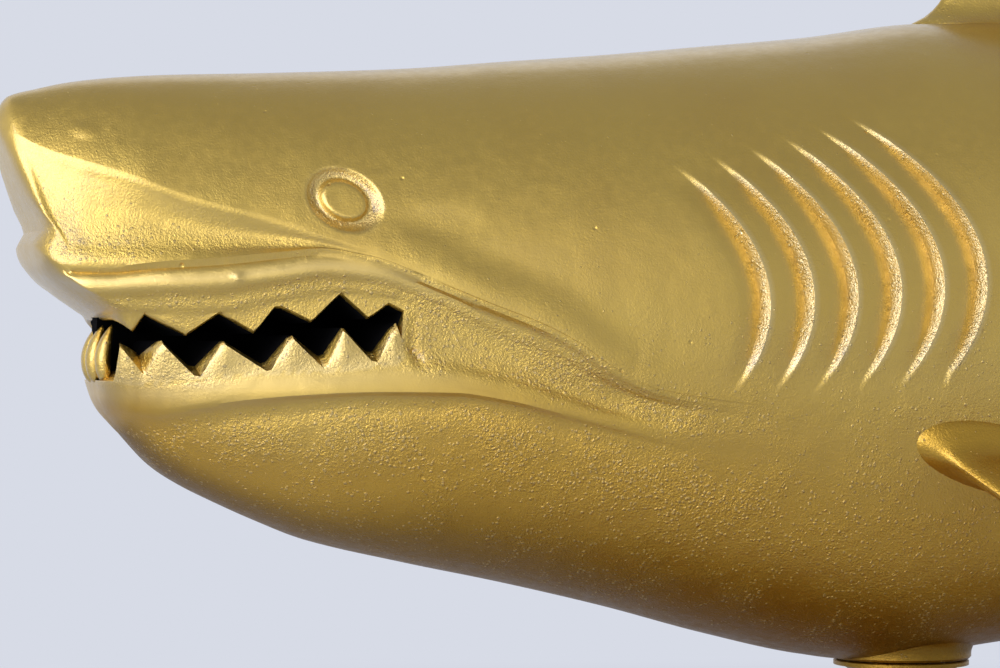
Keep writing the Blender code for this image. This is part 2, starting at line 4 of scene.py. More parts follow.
import bmesh
import bpy
import numpy as np
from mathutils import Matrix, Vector


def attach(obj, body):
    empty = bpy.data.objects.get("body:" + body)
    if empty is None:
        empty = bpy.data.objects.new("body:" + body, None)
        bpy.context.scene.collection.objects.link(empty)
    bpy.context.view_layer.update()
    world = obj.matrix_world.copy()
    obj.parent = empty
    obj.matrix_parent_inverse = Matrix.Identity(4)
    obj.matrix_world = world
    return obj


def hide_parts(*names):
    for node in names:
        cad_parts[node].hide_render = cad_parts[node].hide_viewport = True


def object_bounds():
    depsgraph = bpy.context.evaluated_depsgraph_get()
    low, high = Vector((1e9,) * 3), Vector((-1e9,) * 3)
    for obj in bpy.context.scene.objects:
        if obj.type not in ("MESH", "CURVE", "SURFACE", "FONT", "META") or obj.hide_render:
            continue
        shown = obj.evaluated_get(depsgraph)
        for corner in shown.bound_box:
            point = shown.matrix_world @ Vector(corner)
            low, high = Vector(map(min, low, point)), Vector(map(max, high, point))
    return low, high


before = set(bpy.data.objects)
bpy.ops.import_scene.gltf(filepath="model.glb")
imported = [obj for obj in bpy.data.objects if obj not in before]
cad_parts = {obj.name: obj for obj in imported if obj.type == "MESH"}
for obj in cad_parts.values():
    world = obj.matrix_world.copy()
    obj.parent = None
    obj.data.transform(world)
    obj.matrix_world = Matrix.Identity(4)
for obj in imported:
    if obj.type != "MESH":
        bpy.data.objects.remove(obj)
cadLow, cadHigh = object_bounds()
mm = 0.001

# The side drawing is in millimetres: x from the tip of the snout, z from the level of the mouth.
drawing = {
    "snoutX": cadLow.x,  # where the tip of the snout is in the frame
    "mouthZ": 0.2004,  # how high the mouth is
    "tailEnd": 642,
    "rearStart": 262,  # behind here the rows of the mesh spread evenly
    "evenAfter": 120,  # and this far on they do so fully
    "frontDepth": 9,  # how far back the front rounds over
    "snoutSquareness": 5,
    "jawSquareness": 3,
    "lipLevels": (12, 26),
    "sectionSquareness": 2.2,
    "snoutLevel": 56,  # where the outline of the back and of the belly meet the front
    "chinLevel": -31,
    "frontEases": 6,  # how far back the relief of the head has its full height
}


def innerSlopes(slopes):
    # the slope where two stretches of a line meet, so that it doesn't swing past its points
    product, total = slopes[:-1] * slopes[1:], slopes[:-1] + slopes[1:]
    return np.where(product > 0, 2 * product / np.where(total == 0, 1, total), 0)


def cubic(t, step, start, end, firstSlope, lastSlope):
    return ((1 + 2 * t) * (1 - t) ** 2 * start + t * (1 - t) ** 2 * step * firstSlope + t * t * (3 - 2 * t) *
        end + t * t * (t - 1) * step * lastSlope)


def throughPoints(points):
    # a smooth line through the points
    places, values = np.array(points, float).T
    steps = np.diff(places)
    slopes = np.diff(values) / steps
    tangents = np.concatenate(([slopes[0]], innerSlopes(slopes), [slopes[-1]]))

    def value(x):
        x = np.clip(x, places[0], places[-1])
        i = np.clip(np.searchsorted(places, x) - 1, 0, len(steps) - 1)
        t = (x - places[i]) / steps[i]
        return cubic(t, steps[i], values[i], values[i + 1], tangents[i], tangents[i + 1])

    return value


def straight(points):
    places, values = np.array(points, float).T
    return lambda x: np.interp(x, places, values)


def between(upper, lower, share):
    return lambda x: upper(x) + (lower(x) - upper(x)) * share


def shifted(line, rise):
    return lambda x: line(x) + rise


def ease(value, start, end):
    t = np.clip((value - start) / (end - start), 0, 1)
    return t * t * (3 - 2 * t)


def hump(value, middle, half):
    return np.exp(-((value - middle) / half) ** 2)


def inFrame(x, y, z):
    # points of the drawing, in metres in the CAD frame
    return np.stack([x * mm + drawing["snoutX"], y * mm, z * mm + drawing["mouthZ"]], axis=-1)


topLine = throughPoints([(0, 56), (4, 61.5), (11, 63.5), (20, 65.5), (32, 67), (46, 68), (71, 69), (110, 71),
    (138, 73.5), (167, 76), (196, 79), (225, 82), (262, 87), (300, 88), (350, 86), (400, 81), (450, 73),
    (500, 63), (550, 52), (600, 40), (625, 32.5), (642, 23)])
bellyLine = throughPoints([(34, -28), (42, -35), (50, -40), (58, -44), (69, -49), (83, -54.5), (110, -61),
    (138, -67), (167, -74), (196, -82), (225, -88.6), (240, -90.4), (258, -89.4), (281, -86.8), (310, -83.4),
    (350, -77), (400, -66), (450, -53), (500, -39), (550, -25), (600, -11.5), (625, -4.5), (642, 5)])
frontLine = throughPoints([(-44, 58), (-40, 50), (-35, 42.6), (-28, 35.4), (-23, 31.2), (-19.6, 28.6),
    (-16, 27), (-10, 25.8), (-3, 25.6), (1, 27.4), (4, 27), (6, 24.3), (10, 18.4), (16, 11.4), (20, 9.2),
    (23, 8.4), (26.5, 10.6), (29.5, 9.8), (35, 6.8), (43.5, 3.4), (54, 0.3), (56, 0)])
creaseLine = throughPoints([(0, 53), (13, 46), (29, 40.7), (47, 33.5), (62, 29.5), (83, 23), (92, 20),
    (105, 14.5), (118, 9), (132, 3.5), (141, -1.5), (150, -8), (156, -11.8), (163, -14), (174, -15.5),
    (195, -18), (262, -22)])
lipLine = throughPoints([(0, 23), (6, 22.6), (11, 17.5), (16, 16.2), (25, 16), (37, 17.2), (49, 18),
    (66, 19.6), (77, 20.6), (86, 19.2), (92, 17.8), (105, 12.3), (118, 6.8), (132, 1.3), (141, -3.4),
    (150, -9.6), (163, -15.6), (195, -20), (262, -24)])
gumLine = throughPoints([(0, 6.1), (32, 5.8), (52, 5.8), (66, 8.6), (82, 10.7), (95, 9.4), (107, 5.4),
    (118, -0.6), (137, -10.6), (152, -16.5), (170, -20.5), (195, -23.5), (262, -29)])
jawLine = throughPoints([(0, -12), (36, -12.8), (49, -11.5), (62, -10.2), (77, -9.7), (90, -8.2), (102, -6.8),
    (120, -9.8), (137, -15), (152, -20), (170, -24), (195, -28), (262, -35)])
lowerLipLine = throughPoints([(0, -15.9), (37, -16.4), (60, -13.8), (92, -12.5), (109, -13), (125, -15.6),
    (137, -18.3), (152, -22.6), (170, -27), (195, -31), (262, -40)])
foldLine = throughPoints([(0, -19.6), (25, -20.5), (38, -22.5), (49, -20.3), (73, -17.2), (92, -16.3),
    (110, -16.3), (124, -18.2), (138, -21.9), (152, -25.2), (170, -30), (195, -34), (262, -46)])
halfWidth = throughPoints([(0, 16), (20, 25), (50, 34.5), (100, 46.5), (150, 55.5), (200, 61.5), (265, 65),
    (330, 63), (400, 54), (480, 40), (560, 25), (600, 17), (625, 11), (642, 4)])

# The mouth: the ragged edges of the two rows of teeth, from the front back.
mouth = {
    "upper": [(27.5, 3.6), (31.3, 0.5), (34.2, 4.8), (44.5, -0.5), (52.3, 5.1), (61, 0), (66.3, 7.1),
              (75, 2.8), (82.1, 10), (89.1, 3.6), (94.2, 7.4), (97.8, 5.4)],
    "lower": [(26.4, -9.5), (28.3, -2.3), (33, -5.6), (37.8, -1.3), (45.6, -8.9), (52.7, -1.5), (62.7, -7.9),
              (69.4, 0), (76.7, -6.1), (82.2, 1.8), (88.8, -5.4), (95.3, 3.2), (96.6, 1)],
    "back": 97.8,
    "upperChamfer": 0.7,  # how far the edge of an upper tooth is bevelled
    "upperDepth": 1.7,  # how thick the bright edge of an upper tooth is
    # a lower tooth is a low pyramid: how far its outer edge is moved back and down, how far
    # its inner edge is moved back, and how deep it reaches, at its tip and at the notch beside it
    "tip": (0.5, 0.9, 0.3, 0.8),
    "notch": (1.9, 5.0, 1.2, 4.2),
    "notchRise": 0.25,  # the notches stay at least this far above the jaw
    "web": 1.0,  # half the wall in the middle of the head
    "post": 1.5,  # half of what stands in the middle of the front, behind the front teeth
    "dark": 5.5,  # how far sideways from it the edge of the opening is black
    "ridge": 1.7,  # how far the ridge down each lower tooth stands out
    "ridgeFoot": 0.4, "ridgeRise": 4.5,
    "toothClear": 1.2,  # what lies less than this above the lower edge is a lower tooth
    "clear": 0.4,  # between that wall and the edge of the opening
    "setBack": 7,  # how far back the pocket starts behind the front teeth
    "rings": 3,
    "setBackEases": 12,
    "behind": 8,  # how far behind the mouth its rows run on
    "backClear": 0.3,
    "level": -3,  # where the front teeth stand, on the front line
    "upperShare": 0.35, "lowerShare": 0.55,
}


def lowerPoints():
    outer, inner = [], []
    for i, (x, z) in enumerate(mouth["lower"]):
        back, drop, innerBack, depth = mouth["tip"] if i % 2 else mouth["notch"]
        outer.append((x + back, max(z - drop, float(jawLine(x)) + mouth["notchRise"])))
        inner.append((x + innerBack, z, depth))
    return outer, inner


lowerOuter, lowerInner = lowerPoints()
upperEdge = straight([(0, 3.6)] + mouth["upper"])
lowerOuterEdge = straight(lowerOuter)
toothRidge = straight([(o[0], i % 2 - 0.5) for i, o in enumerate(lowerOuter)])
innerPlace, innerLevel, innerDepth = [straight([(o[0], i[k]) for o, i in zip(lowerOuter, lowerInner)])
    for k in range(3)]


def toothRow(edge, share):
    # a row of the mesh that follows a row of teeth and runs on behind the mouth
    def level(x):
        onward = gumLine(x) + (jawLine(x) - gumLine(x)) * share
        past = ease(x, mouth["back"], mouth["back"] + mouth["behind"])
        return edge(x) * (1 - past) + onward * past

    return level


upperRow = toothRow(lambda x: upperEdge(x) + mouth["upperChamfer"], mouth["upperShare"])
lowerRow = toothRow(lowerOuterEdge, mouth["lowerShare"])

# How far each line of the head stands out of the plain flank, from the snout back, and how crisp it is.
headLines = [
    (shifted(creaseLine, 13), [(0, 0), (262, 0)], 0),
    (creaseLine, [(0, 0.6), (40, 0.8), (70, 0.5), (92, 0.9), (100, 1.5), (115, 2.5), (150, 2.2), (175, 0.6),
        (192, 0)], 1),
    (between(creaseLine, lipLine, 0.12), [(0, -0.5), (15, -0.6), (50, -0.3), (70, 0.2), (92, 0.9), (100, 1.5),
        (115, 2.5), (150, 2.2), (175, 0.6), (192, 0)], 0),
    (between(creaseLine, lipLine, 0.45), [(0, -0.8), (15, -2.3), (50, -2), (65, -1.3), (78, -0.1), (92, 0.9),
        (100, 1.5), (115, 2.5), (150, 2.1), (175, 0.6), (192, 0)], 0),
    (between(creaseLine, lipLine, 0.7), [(0, -0.6), (15, -1.6), (50, -1.5), (65, -1), (78, 0.1), (92, 0.9),
        (115, 2.3), (150, 1.9), (175, 0.55), (192, 0)], 0),
    (shifted(lipLine, 1.2), [(0, 0.7), (60, 0.6), (85, 0.9), (115, 2.1), (150, 2), (175, 0.5),
        (192, 0)], 0.3),
    (shifted(lipLine, -0.6), [(0, -0.4), (60, -0.3), (85, 0.5), (115, 1.9), (150, 1.7), (175, 0.45),
        (192, 0)], 0.5),
    (between(lipLine, gumLine, 0.16), [(0, 0.9), (60, 0.7), (90, 0.6), (110, 0), (128, 0.3), (150, 1.1),
        (175, 0.35), (192, 0)], 0),
    (between(lipLine, gumLine, 0.42), [(0, 1.6), (60, 1.3), (90, 0.4), (110, -0.7), (150, 0), (175, 0.15),
        (192, 0)], 0),
    (between(lipLine, gumLine, 0.54), [(0, 1.0), (60, 0.7), (90, -0.1), (110, -1), (150, -0.9),
        (175, 0)], 0.5),
    (between(lipLine, gumLine, 0.7), [(0, -0.9), (60, -0.9), (90, -1), (110, -1.6), (150, -1.3),
        (175, 0)], 0),
    (shifted(gumLine, 0.5), [(0, -1.3), (90, -1.4), (110, -2), (150, -1.5), (175, 0)], 0.6),
    (shifted(gumLine, -0.5), [(0, -2), (90, -2), (110, -2.2), (150, -1.5), (175, 0)], 0.6),
    (between(gumLine, jawLine, 0.4), [(0, -2), (28, -2.3), (90, -2.2), (110, -2.3), (150, -1.4),
        (175, 0)], 0),
    (between(gumLine, jawLine, 0.7), [(0, -1.3), (28, -1.4), (90, -1.4), (110, -1.9), (150, -1.2),
        (175, 0)], 0),
    (jawLine, [(0, -0.2), (90, -0.2), (110, -1.2), (150, -0.9), (175, 0)], 0.8),
    (between(jawLine, lowerLipLine, 0.35), [(0, 0.2), (60, 0.3), (100, 0.1), (130, -0.1), (150, -0.2),
        (175, 0)], 0),
    (lowerLipLine, [(0, 1), (60, 1.1), (100, 1.1), (130, 0.9), (155, 0.4), (175, 0)], 0),
    (between(lowerLipLine, foldLine, 0.6), [(0, 1.5), (60, 1.9), (100, 1.7), (130, 1.3), (155, 0.5),
        (175, 0)], 0.3),
    (foldLine, [(0, -0.2), (60, -0.4), (100, -0.4), (130, -0.4), (155, -0.2), (175, 0)], 0.6),
    (shifted(foldLine, -2.5), [(0, -0.6), (60, -1.1), (100, -1), (130, -0.8), (155, -0.3), (175, 0)], 0),
    (shifted(foldLine, -7), [(0, -0.2), (60, -0.4), (100, -0.3), (150, -0.1), (175, 0)], 0),
    (shifted(foldLine, -16), [(0, 0), (262, 0)], 0),
]
headLines = [(level, throughPoints(points), crisp) for level, points, crisp in headLines]
creaseFades, edgesFade = (75, 100), (112, 150)  # where the edges stop being crisp


def headRelief(x, z):
    levels = np.array([level(x) for level, height, crisp in headLines])
    heights = np.array([height(x) for level, height, crisp in headLines])
    crisp = [c * (1 - ease(x, *(creaseFades if level is creaseLine else edgesFade)))
        for level, height, c in headLines]
    steps = np.minimum(np.diff(levels, axis=0), -0.05)
    slopes = np.diff(heights, axis=0) / steps
    tangents = np.zeros_like(levels)
    tangents[1:-1] = innerSlopes(slopes)
    relief = np.zeros_like(x)
    for k, step in enumerate(steps):
        t = np.clip((z - levels[k]) / step, 0, 1)
        first, last = [tangents[j] + (slopes[k] - tangents[j]) * crisp[j] for j in (k, k + 1)]
        rise = cubic(t, step, heights[k], heights[k + 1], first, last)
        relief = np.where((z <= levels[k]) & (z > levels[k + 1]), rise, relief)
    return relief


# The gill slits: the skin sinks towards each one, and a bright wall stands behind it.
gills = {
    "first": 190.8, "count": 6, "pitch": 12, "depth": 3.0,
    "ramp": 8.5, "rampPower": 1.7,  # how far ahead of the wall the skin starts to sink, and how late
    "face": 0.8,  # half the width of the wall
    "rim": 0.15, "rimReach": 3,  # how far the wall stands out, a share of its depth, and how far back
    "top": 42, "topRise": 3, "bottom": -13, "endPower": 2.6,
    "middle": 8, "middleRise": 1.3,  # the level where a slit is furthest back
    "curve": 0.0165, "curveReach": (-26, 46), "curveStarts": (96, 186), "curveEnds": 110,
    "columns": [-8.5, -7, -5.6, -4.2, -2.9, -1.9, -1.3, -0.8, -0.4, 0, 0.4, 0.8, 1.3, 2.7],
    "grain": 0.6, "reach": 1.1, "ends": 8,
}


def gillBend(place, z):
    middle = gills["middle"] + gills["middleRise"] * (place - gills["first"]) / gills["pitch"]
    reach = np.clip(z - middle, *gills["curveReach"])
    rear = drawing["rearStart"]
    strength = ease(place, *gills["curveStarts"]) * (1 - ease(place, rear, rear + gills["curveEnds"]))
    return -gills["curve"] * reach * reach * strength


def gillRelief(place, z):
    relief = np.zeros_like(place)
    ramp, face, rim = gills["ramp"], gills["face"], gills["rim"]
    for number in range(gills["count"]):
        wall = gills["first"] + number * gills["pitch"]
        top = gills["top"] + gills["topRise"] * number
        share = np.clip((z - gills["bottom"]) / (top - gills["bottom"]), 0, 1)
        depth = gills["depth"] * (1 - np.abs(2 * share - 1) ** gills["endPower"])
        sink = np.clip((place - wall + ramp) / (ramp - face), 0, 1) ** gills["rampPower"]
        climb = np.clip((place - wall + face) / (2 * face), 0, 1)
        ahead = np.where(climb > 0, climb * (1 + rim) - 1, -sink)
        behind = rim * (1 - ease(place, wall + face, wall + face + gills["rimReach"]))
        relief += depth * np.where(place < wall + face, ahead, behind)
    return relief


def onGillWall(place, z):
    # 1 on the walls, falling to 0 beside them
    number = np.clip(np.round((place - gills["first"]) / gills["pitch"]), 0, gills["count"] - 1)
    off = place - gills["first"] - number * gills["pitch"]
    top, bottom, ends = gills["top"] + gills["topRise"] * number, gills["bottom"], gills["ends"]
    return hump(off, 0.2, gills["reach"]) * ease(z, bottom, bottom + ends) * (1 - ease(z, top - ends, top))


# The skin's mesh: how many rows lie between its lines, and where its columns are.
skin = {
    "rows": [("top", 40), ("crease", 12), ("lip", 5), ("roll", 8), ("gum", 4), ("upperTeeth", 1),
             ("lowerTeeth", 5), ("jaw", 4), ("lowerLip", 5), ("fold", 6), ("under", 30)],
    "crowding": 1.35,  # how much closer the rows lie away from the back and the belly
    "frontColumns": 26, "anglesApart": 0.012,
    "step": 1.3,
    "gillZone": 180, "apart": 0.5,
    "dorsalStep": 2.4, "dorsalEnd": 350,
    "tailColumns": 40,
    "least": 0.15,  # how far out every point is, but for the middle line
}
rowNames, rowCounts = zip(*skin["rows"])
rowTotal = sum(rowCounts)
rowLines = {
    "crease": creaseLine, "lip": shifted(lipLine, 1.2), "roll": between(lipLine, gumLine, 0.3),
    "gum": gumLine, "upperTeeth": upperRow, "lowerTeeth": lowerRow, "jaw": jawLine,
    "lowerLip": lowerLipLine, "fold": foldLine, "under": shifted(foldLine, -6),
}


def meshColumns():
    # each column's share round the front, or its place along the flank
    front = drawing["frontDepth"]
    tailEnd = drawing["tailEnd"]
    start = float(frontLine(mouth["level"]))
    squareness = drawing["jawSquareness"]
    edges = {x for x, z in mouth["upper"]} | {x for x, z in lowerOuter}
    angles, places = [], []
    for x in sorted(edges):
        ahead = 1 - (x - start) / front
        if ahead > 0:
            side = (1 - ahead ** squareness) ** (1 / squareness)
            angles.append(math.atan2(side, ahead) / (math.pi / 2))
        else:
            places.append(front + (x - start - front) * (tailEnd - front) / (tailEnd - start - front))
    wanted = list(np.linspace(0, 1, skin["frontColumns"] + 1)[:-1])
    angles = sorted(angles + [a for a in wanted if min(abs(a - b) for b in angles) > skin["anglesApart"]])
    fixed = sorted([front] + places + [skin["gillZone"]])
    columns = []
    for a, b in zip(fixed, fixed[1:]):
        count = max(round((b - a) / skin["step"]), 1)
        columns += [a + (b - a) * i / count for i in range(count)]
    slits = [gills["first"] + n * gills["pitch"] for n in range(gills["count"])]
    columns += [s + o for s in slits for o in gills["columns"] if s + o > skin["gillZone"] + skin["apart"]]
    last = columns[-1]
    for end, step in ((skin["dorsalEnd"], skin["dorsalStep"]), (tailEnd, (tailEnd - skin["dorsalEnd"]) /
            skin["tailColumns"])):
        count = round((end - last) / step)
        columns += [last + (end - last) * (i + 1) / count for i in range(count)]
        last = end
    return np.array([a - 1 for a in angles] + columns)  # below 0 the column is on the front


def sectionShare(x, z):
    top, belly = topLine(x), bellyLine(x)
    off = np.clip(np.abs(z - (top + belly) / 2) / ((top - belly) / 2), 0, 1)
    return np.sqrt(1 - off ** drawing["sectionSquareness"])


def plainWidth(x, z):
    return halfWidth(x) * sectionShare(x, z)


def placeRows(row, x):
    # the level of each row of the mesh at x
    lines = [topLine] + [rowLines[name] for name in rowNames[1:]] + [bellyLine]
    headX = np.minimum(x, drawing["rearStart"])
    level = np.zeros_like(x)
    first = 0
    for k, count in enumerate(rowCounts):
        share = np.clip((row - first) / count, 0, 1)
        if k == 0:
            share = share ** skin["crowding"]
        if k == len(rowCounts) - 1:
            share = 1 - (1 - share) ** skin["crowding"]
        upper, lower = lines[k](headX), lines[k + 1](headX)
        inside = (row >= first) & (row <= first + count)
        level = np.where(inside, upper + (lower - upper) * share, level)
        first += count
    top, belly = topLine(headX), bellyLine(headX)
    headShare = (top - level) / (top - belly)
    evenShare = (1 - np.cos(np.pi * row / rowTotal)) / 2
    mixed = ease(x, drawing["rearStart"], drawing["rearStart"] + drawing["evenAfter"])
    spread = topLine(x) + (bellyLine(x) - topLine(x)) * (headShare + (evenShare - headShare) * mixed)
    return np.where(x > drawing["rearStart"], spread, level)


def frontRows(row):
    # where each row leaves the middle of the front
    middle = [float(rowLines[name](0)) for name in rowNames[1:]]
    lines = [drawing["snoutLevel"]] + middle + [drawing["chinLevel"]]
    ends = np.cumsum((0,) + rowCounts)
    level = np.interp(row, ends, lines)
    return frontLine(level), level


def skinPoints(row, column):
    front, tailEnd = drawing["frontDepth"], drawing["tailEnd"]
    startX, startLevel = frontRows(row)
    jaw, snout = drawing["jawSquareness"], drawing["snoutSquareness"]
    squareness = jaw + (snout - jaw) * ease(startLevel, *drawing["lipLevels"])
    angle = np.clip(column + 1, 0, 1) * np.pi / 2
    reach = (np.cos(angle) ** squareness + np.sin(angle) ** squareness) ** (-1 / squareness)
    onFront = column < 0
    rounding = np.where(onFront, np.clip(reach * np.sin(angle), 0, 1), 1)
    place = np.where(onFront, front * (1 - reach * np.cos(angle)), column)

    def flank(p):
        return startX + front + (tailEnd - startX - front) * (p - front) / (tailEnd - front)

    x = np.where(onFront, startX + place, flank(place))
    offset = startLevel - placeRows(row, startX)
    level = placeRows(row, x)
    for _ in range(4):  # the bend changes the level, and the level the bend
        x = np.where(onFront, x, flank(place + gillBend(place, level)))
        level = placeRows(row, x)
    level = level + offset * (1 - ease(x - startX, 0, front))
    out = halfWidth(x) * sectionShare(x, level) * rounding
    out += headRelief(x, level) * ease(x - startX, 0, drawing["frontEases"]) * (rounding > 0)
    out += gillRelief(np.where(onFront, 0, place), level)
    middle = (row == 0) | (row == rowTotal) | (column <= -1)
    out = np.where(middle, 0, np.maximum(out, skin["least"]))
    return x, out, level


print("drawing ready")


def sheetOf(columnCount, rowCount):
    # a grid, with the column and the row of each of its vertices
    bm = bmesh.new()
    bmesh.ops.create_grid(bm, x_segments=columnCount, y_segments=rowCount, size=1)
    spots = np.array([vert.co[:2] for vert in bm.verts])
    column = np.rint((spots[:, 0] + 1) / 2 * columnCount).astype(int)
    row = np.rint((1 - spots[:, 1]) / 2 * rowCount).astype(int)
    return bm, column, row


def newObject(name, data):
    made = bpy.data.objects.new(name, data)
    bpy.context.scene.collection.objects.link(made)
    return made


def pieceFrom(name, bm, materials, replaced, sharp=35, low=0):
    bmesh.ops.remove_doubles(bm, verts=bm.verts, dist=0.000005)
    bmesh.ops.dissolve_degenerate(bm, edges=bm.edges, dist=0.000001)
    bmesh.ops.recalc_face_normals(bm, faces=bm.faces)
    # low is the share of painted underside shade that a whole piece gets
    for layer, value in (("graininess", 0.4), ("paintedHighlight", 0), ("undersideShade", low)):
        if layer not in bm.verts.layers.float:
            made = bm.verts.layers.float.new(layer)
            for vert in bm.verts:
                vert[made] = value
    mesh = bpy.data.meshes.new(name)
    bm.to_mesh(mesh)
    bm.free()
    piece = newObject(name, mesh)
    for material in materials:
        mesh.materials.append(material)
    mesh.shade_smooth()
    mesh.set_sharp_from_angle(angle=math.radians(sharp))
    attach(piece, "root")
    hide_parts(replaced)
    return piece


# The eye: a groove with steep sides round a low flat boss, a tilted oval.
eye = {"x": 83.5, "z": 34.2, "long": 10.0, "high": 7.9, "tilt": 28, "reach": 13, "cuts": 2,
       "from": -0.012}  # metres: what lies nearer the middle has no small reliefs
eyeProfile = throughPoints([(0, 0.1), (0.48, 0), (0.54, -0.15), (0.6, -0.9), (0.66, -1.8), (0.72, -2),
    (0.8, -1.75), (0.9, -1.1), (0.98, -0.35), (1.02, -0.05), (1.06, 0), (1.2, 0)])
dishes = [
    # middle x and z, half sizes, and how deep: the hollow behind the eye, two bumps and a dent
    (107, 28, 13, 6.5, 0.6), (20.4, 52.2, 4, 3, -0.5), (56.2, 14.2, 1.6, 1.4, -0.9),
    (157, -5.7, 1.6, 1.4, 0.9),
]
# the gouge at the back of the last tooth: where it starts, how far it runs, its half width and its depth
gouge = {"x": 98.5, "z": -1.0, "back": 4.5, "down": 8, "half": 1.5, "depth": 1.8, "ends": (0.06, 0.94)}


def eyeRadius(x, z):
    # 0 in the middle of the eye, 1 on its rim
    tilt = math.radians(eye["tilt"])
    long = (x - eye["x"]) * math.cos(tilt) - (z - eye["z"]) * math.sin(tilt)
    high = (x - eye["x"]) * math.sin(tilt) + (z - eye["z"]) * math.cos(tilt)
    return np.hypot(long / eye["long"], high / eye["high"])


def detailRelief(x, z):
    radius = eyeRadius(x, z)
    relief = np.where(radius < 1.2, eyeProfile(radius), 0)
    # a ridge down the middle of each lower tooth
    rooted = np.clip((z - jawLine(x) - mouth["ridgeFoot"]) / mouth["ridgeRise"], 0, 1)
    relief += onLowerTeeth(x, z) * (x > lowerOuter[0][0]) * mouth["ridge"] * toothRidge(x) * rooted
    for midX, midZ, wide, high, deep in dishes:
        off = np.hypot((x - midX) / wide, (z - midZ) / high)
        relief -= deep * np.clip(1 - off * off, 0, 1) ** 1.5
    offX, offZ, back, down = x - gouge["x"], z - gouge["z"], gouge["back"], gouge["down"]
    along = np.clip((offX * back - offZ * down) / (back ** 2 + down ** 2), 0, 1)
    off = np.hypot(offX - along * back, offZ + along * down)
    relief -= (gouge["depth"] * np.clip(1 - off / gouge["half"], 0, 1) * np.sin(np.pi * np.clip(along,
        *gouge["ends"])))
    return relief


def onLowerTeeth(x, z):
    return (x < mouth["back"]) & (z < lowerOuterEdge(x) + mouth["toothClear"])


def grainShare(x, z):
    # how much of the sand mould's grain is left: the lips and the fold are filed smooth
    headRows = (creaseLine, lipLine, gumLine, jawLine, lowerLipLine, foldLine)
    crease, lip, gum, jaw, lowerLip, fold = [line(x) for line in headRows]
    head = 1 - ease(x, 100, 150)
    cheek = 1 - ease(x, 170, 230)
    trough = ease(x, 96, 104) * (1 - ease(x, 165, 190))
    # how much more or less there is along a line, how wide, and over which stretch of the body
    bands = [
        (-0.3, lip + 1.2, 1.4, head),
        (-0.3, lip * 0.7 + gum * 0.3, 1.6, head),
        (0.5, lip * 0.25 + gum * 0.75, 2.6, head),
        (0.25, (gum + jaw) / 2, 9, head),
        (-0.45, lowerLip, 3.2, head),
        (-0.35, fold + 2, 3, cheek),
        (0.4, fold - 10, 8, cheek),
        (0.6, (lip + lowerLip) / 2, np.maximum((lip - lowerLip) * 0.42, 2), trough),
        (-0.15, bellyLine(x), 12, 1),
    ]
    share = 0.2 + 0.5 * ease(-z, -30, 55)
    share += 0.45 * hump((crease - z) / np.maximum(crease - lip, 1), 0.72, 0.3) * head
    for amount, middle, half, stretch in bands:
        share += amount * hump(z, middle, half) * stretch
    share += 0.7 * hump(eyeRadius(x, z), 0.8, 0.16)
    return np.clip(share, 0.08, 1)


def paintedHighlightShare(x, z):
    # painted highlight: the lips, the lower teeth and the groove of the eye are paler than the rest
    head = 1 - ease(x, 70, 130)
    lips = 0.22 * hump(z, lowerLipLine(x) + 1.5, 3) + 0.28 * hump(z, lipLine(x) * 0.7 + gumLine(x) * 0.3, 1.8)
    teeth = onLowerTeeth(x, z) & (z > jawLine(x))
    return head * lips + 0.24 * teeth + 0.3 * hump(eyeRadius(x, z), 0.8, 0.18)


